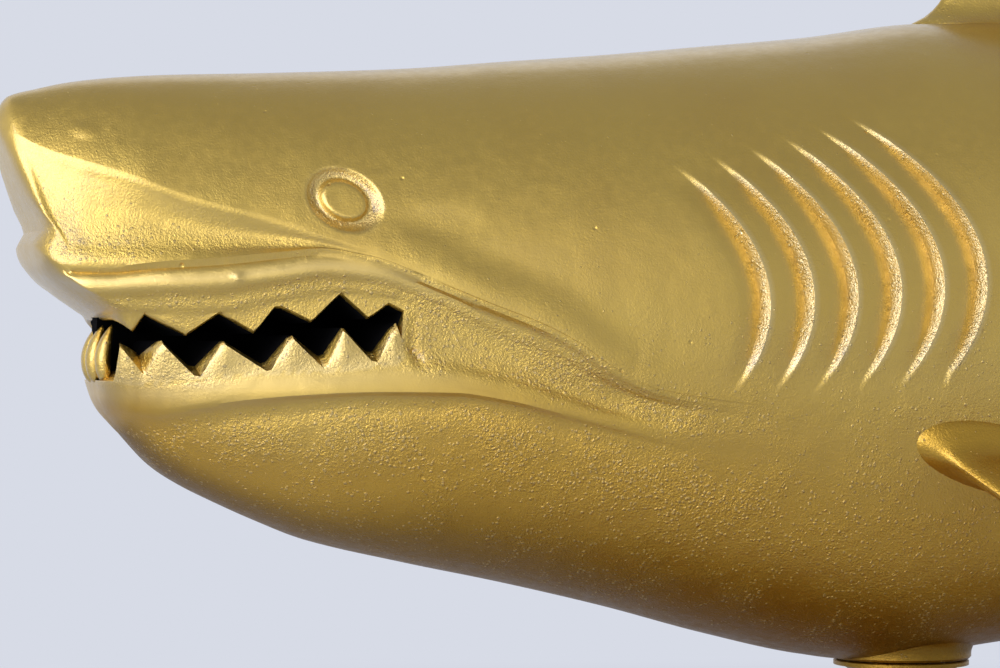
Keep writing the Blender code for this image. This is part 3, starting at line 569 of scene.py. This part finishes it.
def openMouth(bm, column, row, turn, x, out, level):
    # the skin is opened between the two rows of teeth, and its edges turn in to a black pocket, a painted
    # shade that stands for the dark hollow of the mouth
    upper = sum(rowCounts[:rowNames.index("upperTeeth")])
    inMouth = (row == upper) | (row == upper + 1)
    bm.verts.ensure_lookup_table()
    bm.verts.index_update()
    edgeColumns = column[inMouth & (out > mouth["post"]) & (x < mouth["back"] + mouth["backClear"])]
    firstColumn, lastColumn = edgeColumns.min() + 1, edgeColumns.max()
    front = float(frontLine(mouth["level"]))
    source = {}
    for i in np.nonzero(inMouth & (column >= firstColumn) & (column <= lastColumn))[0]:
        source[bm.verts[i]] = (row[i] == upper, x[i], level[i], out[i], math.cos(turn[i]), math.sin(turn[i]))
    # painted shade: the band between the rows at the front, behind the front teeth, is black
    for face in bm.faces:
        if all(row[v.index] in (upper, upper + 1) and column[v.index] <= firstColumn for v in face.verts):
            face.material_index = 1
    gone = [face for face in bm.faces if all(v in source for v in face.verts)
        and len({source[v][0] for v in face.verts}) == 2]
    bmesh.ops.delete(bm, geom=gone, context="FACES_ONLY")
    loose = [edge for edge in bm.edges if not edge.link_faces]
    bmesh.ops.delete(bm, geom=loose, context="EDGES_FACES")
    rim = [edge for edge in bm.edges if edge.is_boundary and all(v in source for v in edge.verts)]
    for ring in range(1, mouth["rings"] + 2):
        made = bmesh.ops.extrude_edge_only(bm, edges=rim)["geom"]
        rim = [part for part in made if isinstance(part, bmesh.types.BMEdge)]
        fresh = {}
        for vert in [part for part in made if isinstance(part, bmesh.types.BMVert)]:
            old = next(edge.other_vert(vert) for edge in vert.link_edges if edge.other_vert(vert) in source)
            fresh[vert] = source[old]
        share = ring / mouth["rings"]
        for vert, (isUpper, px, pz, pOut, back, inward) in fresh.items():
            if ring > mouth["rings"]:
                vert.co.x += mouth["setBack"] * (1 - ease(px - front, 0, mouth["setBackEases"])) * mm
                vert.co.y = -mouth["web"] * mm
                continue
            if isUpper:
                depth = mouth["upperDepth"] * share
                z = pz - mouth["upperChamfer"] * min(share * 2, 1)
            else:
                depth = float(innerDepth(px)) * share
                z = pz + (float(innerLevel(px)) - pz) * share
                if lowerOuter[0][0] < px < lowerOuter[-1][0]:
                    px += (float(innerPlace(px)) - px) * share
            inside = max(pOut - depth * inward, mouth["web"] + mouth["clear"])
            vert.co = inFrame(px + depth * back, -inside, z)
        # painted shade: the pocket's last ring and the faces near the middle post are black
        for face in [part for part in made if isinstance(part, bmesh.types.BMFace)]:
            nearPost = all(abs(v.co.y) < mouth["dark"] * mm for v in face.verts)
            face.material_index = int(ring > mouth["rings"] or nearPost)
        source = fresh
    cap = bmesh.ops.triangle_fill(bm, edges=rim, use_beauty=True)["geom"]
    for face in [part for part in cap if isinstance(part, bmesh.types.BMFace)]:
        face.material_index = 1


def drawn(vert):
    # where a point is on the side drawing
    return (vert.co.x - drawing["snoutX"]) / mm, (vert.co.z - drawing["mouthZ"]) / mm


def addDetail(bm):
    # finer faces round the eye, then the small reliefs and what the material reads
    near = [edge for edge in bm.edges if not any(face.material_index for face in edge.link_faces)
        and all(math.dist(drawn(v), (eye["x"], eye["z"])) < eye["reach"] for v in edge.verts)]
    bmesh.ops.subdivide_edges(bm, edges=near, cuts=eye["cuts"], use_grid_fill=True)
    x, z = np.array([drawn(vert) for vert in bm.verts]).T
    relief = detailRelief(x, z) * mm
    for vert, rise in zip(bm.verts, relief):
        if rise and vert.co.y < eye["from"]:
            vert.co.y -= rise
    # painted underside shade: 0 half way up the flank and 1 on the belly, though on the chin it stays light
    # almost to its foot
    middle = (topLine(x) + bellyLine(x)) / 2
    shares = np.clip((middle - z) / (middle - bellyLine(x)), 0, 1) ** (1 + 2 * (1 - ease(x, 40, 120)))
    undersideShade = bm.verts.layers.float.new("undersideShade")
    graininess = bm.verts.layers.float.new("graininess")
    paintedHighlight = bm.verts.layers.float["paintedHighlight"]
    for vert, share, grain, bright in zip(bm.verts, shares, grainShare(x, z), paintedHighlightShare(x, z)):
        vert[undersideShade] = share
        vert[graininess] = min(gills["grain"] * vert[paintedHighlight] + grain, 1.1)
        vert[paintedHighlight] += bright


def makeSkin(gold, black):
    columns = meshColumns()
    bm, column, row = sheetOf(len(columns) - 1, rowTotal)
    x, out, level = skinPoints(row.astype(float), columns[column])
    paintedHighlight = bm.verts.layers.float.new("paintedHighlight")
    # the gill walls get a painted highlight, and more grain
    for vert, spot, onWall in zip(bm.verts, inFrame(x, -out, level), onGillWall(columns[column], level)):
        vert.co = spot
        vert[paintedHighlight] = onWall
    openMouth(bm, column, row, np.clip(columns[column] + 1, 0, 1) * math.pi / 2, x, out, level)
    addDetail(bm)
    bmesh.ops.mirror(bm, geom=[*bm.verts, *bm.edges, *bm.faces], axis="Y", merge_dist=0.000005)
    bmesh.ops.holes_fill(bm, edges=[edge for edge in bm.edges if edge.is_boundary])
    return pieceFrom("shark_skin", bm, [gold, black], "shark", sharp=42)


def ringsToMesh(sections):
    # a closed form through rings of points, each ring in metres
    sections = np.array(sections)
    count = sections.shape[1]
    bm, column, row = sheetOf(count, len(sections) - 1)
    for i, vert in enumerate(bm.verts):
        vert.co = sections[row[i], column[i] % count]
    bmesh.ops.remove_doubles(bm, verts=bm.verts, dist=0.000001)
    bmesh.ops.holes_fill(bm, edges=[edge for edge in bm.edges if edge.is_boundary])
    return bm


def loft(name, sections, material, low=0):
    return pieceFrom(name, ringsToMesh(sections), [material], "shark", sharp=40, low=low)


finShape = throughPoints([(0, 0), (0.04, 0.44), (0.1, 0.68), (0.2, 0.89), (0.36, 1), (0.55, 0.9),
    (0.75, 0.62), (0.92, 0.33), (1, 0.12)])


def finRing(front, back, thick, fatWay, points=22):
    # the outline of one section of a fin, round over the first part of its chord
    rounded, fatThere = 0.04, 0.44
    shares = (1 - np.cos(np.linspace(0, np.pi, points))) / 2
    fat = np.where(shares < rounded, fatThere * np.sqrt(np.clip(shares / rounded, 0, 1)), finShape(shares))
    up = front + np.outer(shares, back - front) + np.outer(fat * thick / 2, fatWay)
    down = front + np.outer(shares[1:], back - front) - np.outer(fat[1:] * thick / 2, fatWay)
    return np.concatenate([up, down[::-1]])


def rootFlare(rise, radius):
    # how much a fin widens as it comes down into the skin
    d = np.clip(rise / radius, 0, 1)
    return radius * (1 - np.sqrt(1 - (1 - d) ** 2))


# The fins, drawn in millimetres on the side drawing as the source of the part has them.
fins = {
    "dorsal": {"root": 264, "chord": 82, "tip": 16, "height": 76, "lean": 0.82, "side": 1, "flare": 7},
    "rearDorsal": {"root": 520, "chord": 30, "tip": 8, "height": 20, "lean": 0.9, "side": 1, "flare": 3},
    "anal": {"root": 532, "chord": 28, "tip": 8, "height": 19, "lean": 0.9, "side": -1, "flare": 3},
    "pectoral": {"root": [(238, -30), (304, -44)], "tip": 14, "span": 92, "sweep": 38, "droop": 32,
                 "flare": 8},
    "pelvic": {"root": [(418, -46), (452, -42)], "tip": 8, "span": 34, "sweep": 40, "droop": 40, "flare": 4},
    "thickness": 11, "thinning": 0.72,
    "sink": 3.5,  # the root goes 2.4 times this deep into the skin
    "curl": 0.25,  # how much of the lean comes late
    "bow": 0.09, "rearBow": 0.6,
    "tipFrom": 0.86, "tipLength": 0.145, "tipSlant": 0.6,  # where along the fin its end rounds off
    "rearFlare": 0.5,
    "sections": 34, "rootSections": 12,
}


def tipRounding(share):
    past = min(max((share - fins["tipFrom"]) / fins["tipLength"], 0), 1)
    return math.sqrt(max(1 - past * past, 0.0016))


def makeUprightFin(name, fin, material):
    line = topLine if fin["side"] > 0 else bellyLine
    rings = []
    small = min(fin["chord"] / 80, 1) ** 0.5
    sink = fins["sink"] * small / fin["height"]
    dense, upper = fins["rootSections"], fins["sections"] - fins["rootSections"]
    for share in np.concatenate([[-2.4 * sink, -1.2 * sink], np.linspace(-0.6 * sink, 0.25, dense),
            np.linspace(0.25, 1, upper)[1:]]):
        rise = fin["height"] * share
        full = fin["chord"] + (fin["tip"] - fin["chord"]) * max(share, 0) ** 0.8
        chord = full * tipRounding(share)
        leaning = 1 - fins["curl"] + fins["curl"] * abs(share)
        front = fin["root"] + fin["lean"] * fin["height"] * max(share, -0.05) * leaning
        front += (full - chord) * fins["tipSlant"]
        flare = rootFlare(max(rise, 0) + 0.4, fin["flare"])
        lowFront = inFrame(front - flare, 0, line(front))
        lowBack = inFrame(front + chord + flare * fins["rearFlare"], 0,
            line(min(front + chord, drawing["tailEnd"])))
        lowBack[2] += (lowFront[2] - lowBack[2]) * ease(share, 0, 0.5)
        lift = np.array([0, 0, fin["side"] * rise * mm])
        taper = 1 - fins["thinning"] * max(share, 0)
        thick = (fins["thickness"] * small * taper + 2 * flare) * mm
        rings.append(finRing(lowFront + lift, lowBack + lift, thick, np.array([0, 1.0, 0])))
    return loft(name, rings, material)


def makeFlankFin(name, fin, side, material):
    outward = np.array([math.tan(math.radians(fin["sweep"])), side, -math.tan(math.radians(fin["droop"]))])
    lead = inFrame(fin["root"][0][0], side * float(plainWidth(*fin["root"][0])), fin["root"][0][1])
    trail = inFrame(fin["root"][1][0], side * float(plainWidth(*fin["root"][1])), fin["root"][1][1])
    rootChord = np.linalg.norm(trail - lead)
    chordWay = (trail - lead) / rootChord
    fatWay = np.cross(outward, chordWay)
    fatWay /= np.linalg.norm(fatWay)
    small = min(rootChord / mm / 70, 1) ** 0.5
    rings = []
    upper = fins["sections"] - fins["rootSections"]
    for share in np.concatenate([[-0.16, -0.1], np.linspace(-0.06, 0.22, 14),
            np.linspace(0.22, 1, upper)[1:]]):
        full = rootChord + (fin["tip"] * mm - rootChord) * max(share, 0) ** 0.85
        chord = full * tipRounding(share)
        bow = fins["bow"] * fin["span"] * mm * math.sin(math.pi * max(share, 0)) * np.array([-1.0, 0, 0])
        front = lead + outward * fin["span"] * mm * share + bow + chordWay * (full - chord) * fins["tipSlant"]
        flare = rootFlare(max(share, 0) * fin["span"] + 0.4, fin["flare"]) * mm
        start = front - chordWay * flare
        end = front + chordWay * (chord + flare * fins["rearFlare"]) - bow * fins["rearBow"]
        thick = fins["thickness"] * mm * small * (1 - fins["thinning"] * max(share, 0)) + 2 * flare
        rings.append(finRing(start, end, thick, fatWay))
    # the flank fins get 0.7 of the painted underside shade all over
    return loft(name, rings, material, 0.7)


def makeTail(material):
    drawn = [(-71, 676, 679, 2.5), (-66, 671, 678, 3.5), (-56, 664, 675, 4.5), (-36, 651, 669, 6.5),
        (-14, 634, 660, 9), (2, 614, 652, 13), (14, 606, 648, 15), (26, 614, 651, 13), (44, 637, 660, 9),
        (72, 660, 675, 7), (100, 678, 690, 5), (118, 689, 697, 4), (128, 697, 700, 2.5)]
    levels = np.linspace(0, len(drawn) - 1, 70)
    number = range(len(drawn))
    level, front, back, thick = [throughPoints(list(zip(number, [d[i] for d in drawn])))(levels)
        for i in range(4)]
    rings = [finRing(inFrame(f, 0, z), inFrame(b, 0, z), t * mm, np.array([0, 1.0, 0]))
        for z, f, b, t in zip(level, front, back, thick)]
    return loft("tail_fin", rings, material)


def turnedPiece(name, profile, centreX, material, replaced, low):
    bm = bmesh.new()
    verts = [bm.verts.new((centreX + radius, 0, height)) for radius, height in profile]
    edges = [bm.edges.new(pair) for pair in zip(verts, verts[1:])]
    bmesh.ops.spin(bm, geom=verts + edges, cent=(centreX, 0, 0), axis=(0, 0, 1), angle=math.tau, steps=96,
        use_merge=True)
    return pieceFrom(name, bm, [material], replaced, low=low)


# The small curved teeth at the very front of the lower jaw.
frontTeeth = {
    "spots": [(-8.8, 27.8), (-2.7, 26.6), (2.7, 26.6), (8.8, 27.8)],  # sideways and back
    "root": -12.6, "tip": 2.4,
    "wide": 2.9, "deep": 2.1,
    "bulge": 1.0, "curl": 1.8,
    "rings": 18, "sides": 20,
}


def makeFrontTeeth(material):
    shares = np.linspace(0, 1, frontTeeth["rings"])
    turns = np.linspace(0, math.tau, frontTeeth["sides"], endpoint=False)
    shape = throughPoints([(0, 0.3), (0.08, 0.7), (0.25, 0.95), (0.45, 1), (0.7, 0.82), (0.88, 0.5),
        (0.97, 0.25), (1, 0.05)])
    teeth = bmesh.new()
    for spotY, spotX in frontTeeth["spots"]:
        rings = []
        for share in shares:
            size = float(shape(share))
            x = spotX + frontTeeth["curl"] * share ** 2 - frontTeeth["bulge"] * math.sin(math.pi * share)
            z = frontTeeth["root"] + (frontTeeth["tip"] - frontTeeth["root"]) * share
            rings.append(inFrame(x + frontTeeth["deep"] * size * np.cos(turns), spotY + frontTeeth["wide"] *
                size * np.sin(turns), z + 0 * turns))
        bm = ringsToMesh(rings)
        tooth = bpy.data.meshes.new("tooth")
        bm.to_mesh(tooth)
        bm.free()
        teeth.from_mesh(tooth)
        bpy.data.meshes.remove(tooth)
    return pieceFrom("front_teeth", teeth, [material], "shark", sharp=50)


# The stem and the boss that it meets under the belly.
stem = {"x": -0.019, "seam": 0.110, "gap": 0.0003, "radius": 0.012, "foot": 0.0228, "bore": 0.0043,
    "boss": 0.0195, "lip": 0.0025, "edge": 0.0006, "collar": 0.0015}
base = {"length": 0.230, "width": 0.130, "thick": 0.012, "corner": 0.018, "edge": 0.003}


def makeBoss(material):
    seam, radius, lip, bore, edge = [stem[key] for key in ("seam", "boss", "lip", "bore", "edge")]
    curve = throughPoints([(0, radius), (0.6 * lip, radius), (1.6 * lip, radius * 1.04),
        (3 * lip, radius * 1.2), (5 * lip, radius * 1.5), (6.4 * lip, radius * 1.85)])
    heights = np.linspace(0, 6.4 * lip, 24)
    top = seam + 6.4 * lip
    profile = [(bore, seam), (radius - edge, seam)]
    profile += [(float(curve(h)), seam + (h or edge)) for h in heights]
    profile += [(0.004, top), (bore, top - 0.001), (bore, seam)]
    # the boss gets the full painted underside shade
    return turnedPiece("belly_boss", profile, stem["x"], material, "shark", 1.0)


def quarter(steps, first=0):
    # the sine and the rest of the cosine, round a quarter turn
    turns = [math.pi / 2 * i / steps for i in range(first, steps + 1)]
    return [(math.sin(turn), 1 - math.cos(turn)) for turn in turns]


def makeStand(material):
    thick, foot, bore = base["thick"], stem["foot"], stem["bore"]
    bm = bmesh.new()
    bmesh.ops.create_cube(bm, size=1)
    for vert in bm.verts:
        vert.co = Vector((vert.co.x * base["length"], vert.co.y * base["width"], (vert.co.z + 0.5) * thick))
    corners = [e for e in bm.edges if abs(e.verts[0].co.z - e.verts[1].co.z) > thick / 2]
    bmesh.ops.bevel(bm, geom=corners, offset=base["corner"], segments=16, profile=0.5,
        affect="EDGES", material=-1)
    rim = [e for e in bm.edges if min(v.co.z for v in e.verts) > thick / 2]
    bmesh.ops.bevel(bm, geom=rim, offset=base["edge"], segments=6, profile=0.5, affect="EDGES", material=-1)
    # the base plate gets 0.3 of the painted underside shade
    pieceFrom("base_plate", bm, [material], "stand", sharp=40, low=0.3)
    # the stem flares at the foot and under the boss
    top = stem["seam"] - stem["gap"]
    radius, flare = stem["radius"], stem["boss"] - stem["edge"]
    rise, drop = foot - radius, flare - radius
    profile = [(bore, thick / 2), (foot + 0.001, thick / 2), (foot + 0.001, thick + 0.0001)]
    profile += [(foot - rise * sine, thick + rise * rest) for sine, rest in quarter(12, 1)]
    profile += [(radius + drop * rest, top - stem["collar"] - drop + drop * sine)
        for sine, rest in quarter(12)]
    profile += [(flare, top - 0.0004), (flare - 0.0004, top), (bore, top), (bore, thick / 2)]
    # the stem gets 0.9 of the painted underside shade
    turnedPiece("stem", profile, stem["x"], material, "stand", 0.9)


def linear(code):
    # an sRGB hex colour as linear light
    parts = [int(code[i:i + 2], 16) / 255 for i in (1, 3, 5)]
    return [p / 12.92 if p <= 0.04045 else ((p + 0.055) / 1.055) ** 2.4 for p in parts] + [1]


def fillIn(node, **values):
    # sets a node's settings, and sets or links its inputs by name or, as i0, by number
    for key, value in values.items():
        if hasattr(node, key):
            setattr(node, key, value)
            continue
        socket = node.inputs[int(key[1:]) if key[1:].isdigit() else key.replace("_", " ")]
        if isinstance(value, bpy.types.NodeSocket):
            node.id_data.links.new(value, socket)
        else:
            socket.default_value = value


def addNode(tree, kind, out=0, **values):
    node = tree.nodes.new("ShaderNode" + kind)
    fillIn(node, **values)
    return node.outputs[out]


def newMaterial(name):
    material = bpy.data.materials.new(name)
    material.use_nodes = True
    return material, material.node_tree, material.node_tree.nodes["Principled BSDF"]


gold = {
    "mid": "#DEBC54", "deep": "#CEA847", "amberShade": "#CE9F36", "bellyShade": "#57390F", "wornAndHighlight": "#F4DFA2",
    # millimetres from one to the next: the fine grains of the sand mould and how far they stray, the coarse
    # ones, the lumps, the unevenness of the filed surface, the file's marks, the pits and the blotches
    "sand": 0.62, "stray": 0.9, "speck": 1.15, "lump": 2.6, "wave": 14, "fileMark": 0.6,
    "pit": 8, "blotch": 40,
    # how high each stands against a lump, and how high a lump is in millimetres
    "sandRise": 1.7, "speckRise": 0.8, "markRise": 0.12, "waveRise": 1.6, "rise": 0.28, "bump": 0.9,
    "pitted": 0.62, "pitEdge": (0.02, 0.085),  # the cells below this share have no pit
    "crowding": (0.7, 1.3), "patches": (0.36, 0.6), "speckSize": 0.5,
    # from where to where down the flank each colour of painted shade comes in, and how much of it
    "amberShadeShare": (0.05, 0.6, 0.8), "bellyShadeShare": (0.6, 0.95, 0.65),
    "speckWearAndGlint": 0.25, "paintedHighlightMix": 0.85,
    "rough": 0.3, "roughSpread": 0.14,
    "coat": 0.8, "coatLow": 0.06, "coatRough": 0.2, "coatIor": 1.6,
}


def goldMaterial():
    # sand-cast aluminium under a satin gold lacquer: grain where the mould left it, smooth where it was filed
    material, tree, shader = newMaterial("gold lacquered sand-cast aluminium")
    add = partial(addNode, tree)
    place = add("TexCoord", "Object")
    graininess, undersideShade, paintedHighlight = [add("Attribute", "Fac", attribute_name=name) for name in ("graininess",
        "undersideShade", "paintedHighlight")]
    patterns = (("lump", 3.0, 0.6), ("wave", 2.0, 0.5), ("blotch", 5.0, 0.6), ("sand", 2.0, 0.7))
    lumps, waves, blotches, sand = [add("TexNoise", Vector=place, Scale=1 / (gold[name] * mm), Detail=detail,
        Roughness=roughness) for name, detail, roughness in patterns]
    # scattered pits, only in some of the cells
    cells = add("TexVoronoi", Vector=place, Scale=1 / (gold["pit"] * mm))
    pick = add("SeparateXYZ", Vector=cells.node.outputs["Color"])
    picked = add("Math", operation="GREATER_THAN", i0=pick, i1=gold["pitted"])
    pits = add("MapRange", Value=cells, i1=gold["pitEdge"][0], i2=gold["pitEdge"][1], i3=1.0, i4=0.0)
    pits = add("Math", operation="MULTIPLY", i0=pits, i1=picked)
    # the file's marks are long along the body
    along = add("Mapping", Vector=place, Scale=(0.04, 1.0, 1.0))
    marks = add("TexNoise", Vector=along, Scale=1 / (gold["fileMark"] * mm), Detail=2.0)
    # grains of sand left small sharp lumps, crowded in some patches and few in others
    strayed = add("VectorMath", operation="MULTIPLY_ADD", i0=sand.node.outputs["Color"],
        i1=[gold["stray"] * mm] * 3, i2=place)
    specks = add("TexVoronoi", Vector=strayed, Scale=1 / (gold["speck"] * mm))
    chance = add("SeparateXYZ", Vector=specks.node.outputs["Color"])
    few, many = gold["crowding"]
    bare, full = gold["patches"]
    patch = add("MapRange", Value=waves, i1=bare, i2=full, i3=few, i4=many)
    crowd = add("Math", operation="MULTIPLY", i0=patch, i1=graininess)
    wanted = add("Math", operation="SUBTRACT", i0=crowd, i1=chance)
    size = add("MapRange", Value=wanted, i1=0.0, i2=0.6, i3=0.001, i4=gold["speckSize"])
    nearness = add("Math", operation="DIVIDE", i0=specks, i1=size)
    speck = add("MapRange", interpolation_type="SMOOTHSTEP", Value=nearness, i1=0.35, i2=1.0, i3=1.0, i4=0.0)
    level = add("Math", operation="MULTIPLY_ADD", i0=sand, i1=gold["sandRise"], i2=lumps)
    level = add("Math", operation="MULTIPLY", i0=level, i1=crowd)
    for part, rise in ((speck, gold["speckRise"]), (marks, gold["markRise"]), (waves, gold["waveRise"]),
            (pits, -1.0)):
        level = add("Math", operation="MULTIPLY_ADD", i0=part, i1=rise, i2=level)
    bump = add("Bump", Height=level, Strength=gold["bump"], Distance=gold["rise"] * mm)
    # painted shade: the gold lacquer is left paler on top, turns amber down the flank and dark brown
    # underneath, darker where less light falls
    tone = add("Mix", 2, data_type="RGBA", i0=blotches, i6=linear(gold["deep"]), i7=linear(gold["mid"]))
    for colour in ("amberShade", "bellyShade"):
        start, end, most = gold[colour + "Share"]
        share = add("MapRange", interpolation_type="SMOOTHSTEP", Value=undersideShade, i1=start, i2=end,
            i3=0.0, i4=most)
        tone = add("Mix", 2, data_type="RGBA", i0=share, i6=tone, i7=linear(gold[colour]))
    # the tops of the specks are paler, partly as wear and partly as painted glints; the lips, the lower
    # teeth, the gill walls and the groove of the eye get a painted highlight
    wornAndHighlight = add("Math", operation="MULTIPLY", i0=speck, i1=gold["speckWearAndGlint"])
    wornAndHighlight = add("Math", operation="MULTIPLY_ADD", use_clamp=True, i0=paintedHighlight, i1=gold["paintedHighlightMix"], i2=wornAndHighlight)
    tone = add("Mix", 2, data_type="RGBA", i0=wornAndHighlight, i6=tone, i7=linear(gold["wornAndHighlight"]))
    low = gold["rough"]
    rough = add("MapRange", Value=lumps, i1=0.3, i2=0.7, i3=low, i4=low + gold["roughSpread"])
    # the coat thins where the underside shade is painted, so the belly shines less
    coat = add("MapRange", Value=undersideShade, i1=0.1, i2=0.8, i3=gold["coat"], i4=gold["coatLow"])
    fillIn(shader, Base_Color=tone, Metallic=1, Roughness=rough, Normal=bump, Coat_Weight=coat,
        Coat_Roughness=gold["coatRough"], Coat_IOR=gold["coatIor"])
    return material


def plainMaterial(name, colour, roughness, metallic=0.0):
    material, tree, shader = newMaterial(name)
    add = partial(addNode, tree)
    noise = add("TexNoise", Vector=add("TexCoord", "Object"), Scale=400.0, Detail=3.0)
    darker = [c * 0.8 for c in linear(colour)[:3]] + [1]
    tone = add("Mix", 2, data_type="RGBA", i0=noise, i6=linear(colour), i7=darker)
    rough = add("MapRange", Value=noise, i1=0.3, i2=0.7, i3=roughness, i4=roughness + 0.12)
    fillIn(shader, Base_Color=tone, Metallic=metallic, Roughness=rough, Specular_IOR_Level=0.5
        if metallic else 0.08)
    return material


goldFinish = goldMaterial()
# painted shade: a matt black pocket stands for the dark hollow of the open mouth, without any shine
mouthShadeFinish = plainMaterial("matt black painted shade inside the mouth", "#050403", 0.95)
# zinc plated steel is a pale grey with a soft shine
steelFinish = plainMaterial("zinc plated steel", "#B9B6AC", 0.3, 1.0)

makeSkin(goldFinish, mouthShadeFinish)
print("skin made")
makeUprightFin("dorsal_fin", fins["dorsal"], goldFinish)
makeUprightFin("rear_dorsal_fin", fins["rearDorsal"], goldFinish)
makeUprightFin("anal_fin", fins["anal"], goldFinish)
for side, word in ((-1, "left"), (1, "right")):
    makeFlankFin("pectoral_fin_" + word, fins["pectoral"], side, goldFinish)
    makeFlankFin("pelvic_fin_" + word, fins["pelvic"], side, goldFinish)
makeTail(goldFinish)
print("fins made")
makeFrontTeeth(goldFinish)
makeBoss(goldFinish)
makeStand(goldFinish)
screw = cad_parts["stem_screw"]
screw.data.materials.clear()
screw.data.materials.append(steelFinish)
print("stand made")

# The studio: a pale floor and backdrop, a big soft box at the front left, a fill at the right.
studio = {"floor": "#D0D3DB", "backdrop": "#D7DBE6", "floorSize": 40, "worldLight": 0.5,
          "floorNear": 0.75, "floorFar": 1.25,  # metres out, between which the paper runs into the backdrop
          "overhead": 0.6, "rise": (0.3, 0.85), "rightSide": 0.78}
# where each lamp stands and what it points at, its size in metres, its power in watts, its colour, and
# whether metal shows it
lamps = {
    "key at the front left": ((-1.5, -0.75, 0.68), (-0.1, 0, 0.2), (1.6, 1.3), 21.5, (0.88, 0.92, 1.3), True),
    "rim light behind": ((-0.3, 1.1, 1.2), (-0.1, 0, 0.2), (1.8, 0.5), 0.9, (0.95, 0.97, 1.0), True),
    "fill at the front": ((-0.75, -1.75, 0.5), (-0.15, 0, 0.2), (1.5, 1.0), 1.8, (1, 0.98, 0.95), True),
    "light on the floor": ((-0.6, -0.5, 0.9), (-0.5, -0.4, 0), (0.35, 0.35), 3, (1, 0.99, 0.97), False),
}
view = {"target": (-0.137, 0.0, 0.2004), "azimuth": -18, "distance": 1.0, "width": 0.270}


def makeFloor():
    bm = bmesh.new()
    bmesh.ops.create_grid(bm, x_segments=1, y_segments=1, size=studio["floorSize"] / 2)
    mesh = bpy.data.meshes.new("floor")
    bm.to_mesh(mesh)
    bm.free()
    # paper is even and has no shine, so only the shadow shows on it
    material, tree, shader = newMaterial("pale matt paper")
    fillIn(shader, Base_Color=linear(studio["floor"]), Roughness=0.9, Specular_IOR_Level=0.1)
    # far out the paper has the backdrop's own colour, so no horizon shows
    add = partial(addNode, tree)
    reach = add("VectorMath", "Value", operation="LENGTH", Vector=add("TexCoord", "Object"))
    far = add("MapRange", interpolation_type="SMOOTHSTEP", Value=reach, i1=studio["floorNear"],
        i2=studio["floorFar"], i3=0.0, i4=1.0)
    mirrored, direct = mirroredRay(tree)
    seen = add("Math", operation="MAXIMUM", i0=mirrored, i1=direct)
    share = add("Math", operation="MULTIPLY", i0=far, i1=seen)
    glow = add("Emission", Color=linear(studio["backdrop"]), Strength=1.0)
    mixed = add("MixShader", i0=share, i1=shader.outputs[0], i2=glow)
    fillIn(tree.nodes["Material Output"], Surface=mixed)
    mesh.materials.append(material)
    floor = newObject("floor", mesh)


def mirroredRay(tree):
    # 1 for the rays that come off metal or through glass, and 1 for those straight from the camera
    path = addNode(tree, "LightPath").node.outputs
    mirrored = addNode(tree, "Math", operation="MAXIMUM", i0=path["Is Glossy Ray"],
        i1=path["Is Transmission Ray"])
    return mirrored, path["Is Camera Ray"]


def makeWorld():
    world = bpy.data.worlds.new("pale studio")
    bpy.context.scene.world = world
    world.use_nodes = True
    tree = world.node_tree
    add = partial(addNode, tree)
    # the backdrop is full strength at eye level and dimmer overhead
    direction = add("TexCoord", "Generated")
    height = add("SeparateXYZ", "Z", Vector=direction)
    low, high = studio["rise"]
    level = add("MapRange", interpolation_type="SMOOTHSTEP", Value=height, i1=low, i2=high, i3=1.0,
        i4=studio["overhead"])
    # in reflections the room is a little darker in front on the right
    side = add("VectorMath", "Value", operation="DOT_PRODUCT", i0=direction, i1=(1, -1.2, 0))
    dim = add("MapRange", Value=side, i1=0.8, i2=1.6, i3=1.0, i4=studio["rightSide"])
    dimmed = add("Math", operation="MULTIPLY", i0=level, i1=dim)
    mirrored, direct = mirroredRay(tree)
    strength = add("MapRange", Value=mirrored, i1=0.0, i2=1.0, i3=studio["worldLight"], i4=dimmed)
    strength = add("MapRange", Value=direct, i1=0.0, i2=1.0, i3=strength, i4=level)
    fillIn(tree.nodes["Background"], Color=linear(studio["backdrop"]), Strength=strength)


def softBox(name, place, aim, size, power, colour, onMetal):
    lamp = bpy.data.lights.new(name, "AREA")
    lamp.shape = "RECTANGLE"
    lamp.size, lamp.size_y = size
    lamp.energy = power
    lamp.color = colour
    holder = newObject(name, lamp)
    holder.visible_camera = False
    holder.visible_glossy = onMetal
    holder.location = place
    holder.rotation_euler = (Vector(aim) - Vector(place)).to_track_quat("-Z", "Y").to_euler()


def makeCamera():
    azimuth = math.radians(view["azimuth"])
    look = Vector((-math.sin(azimuth), math.cos(azimuth), 0))
    camera = bpy.data.cameras.new("camera")
    holder = newObject("camera", camera)
    holder.location = Vector(view["target"]) - look * view["distance"]
    holder.rotation_euler = look.to_track_quat("-Z", "Y").to_euler()
    camera.sensor_width = 36
    camera.lens = camera.sensor_width * view["distance"] / view["width"]
    camera.clip_start = 0.05
    bpy.context.scene.camera = holder


makeFloor()
makeWorld()
for name, values in lamps.items():
    softBox(name, *values)
makeCamera()
bpy.context.scene.view_settings.view_transform = "Standard"
print("studio made")
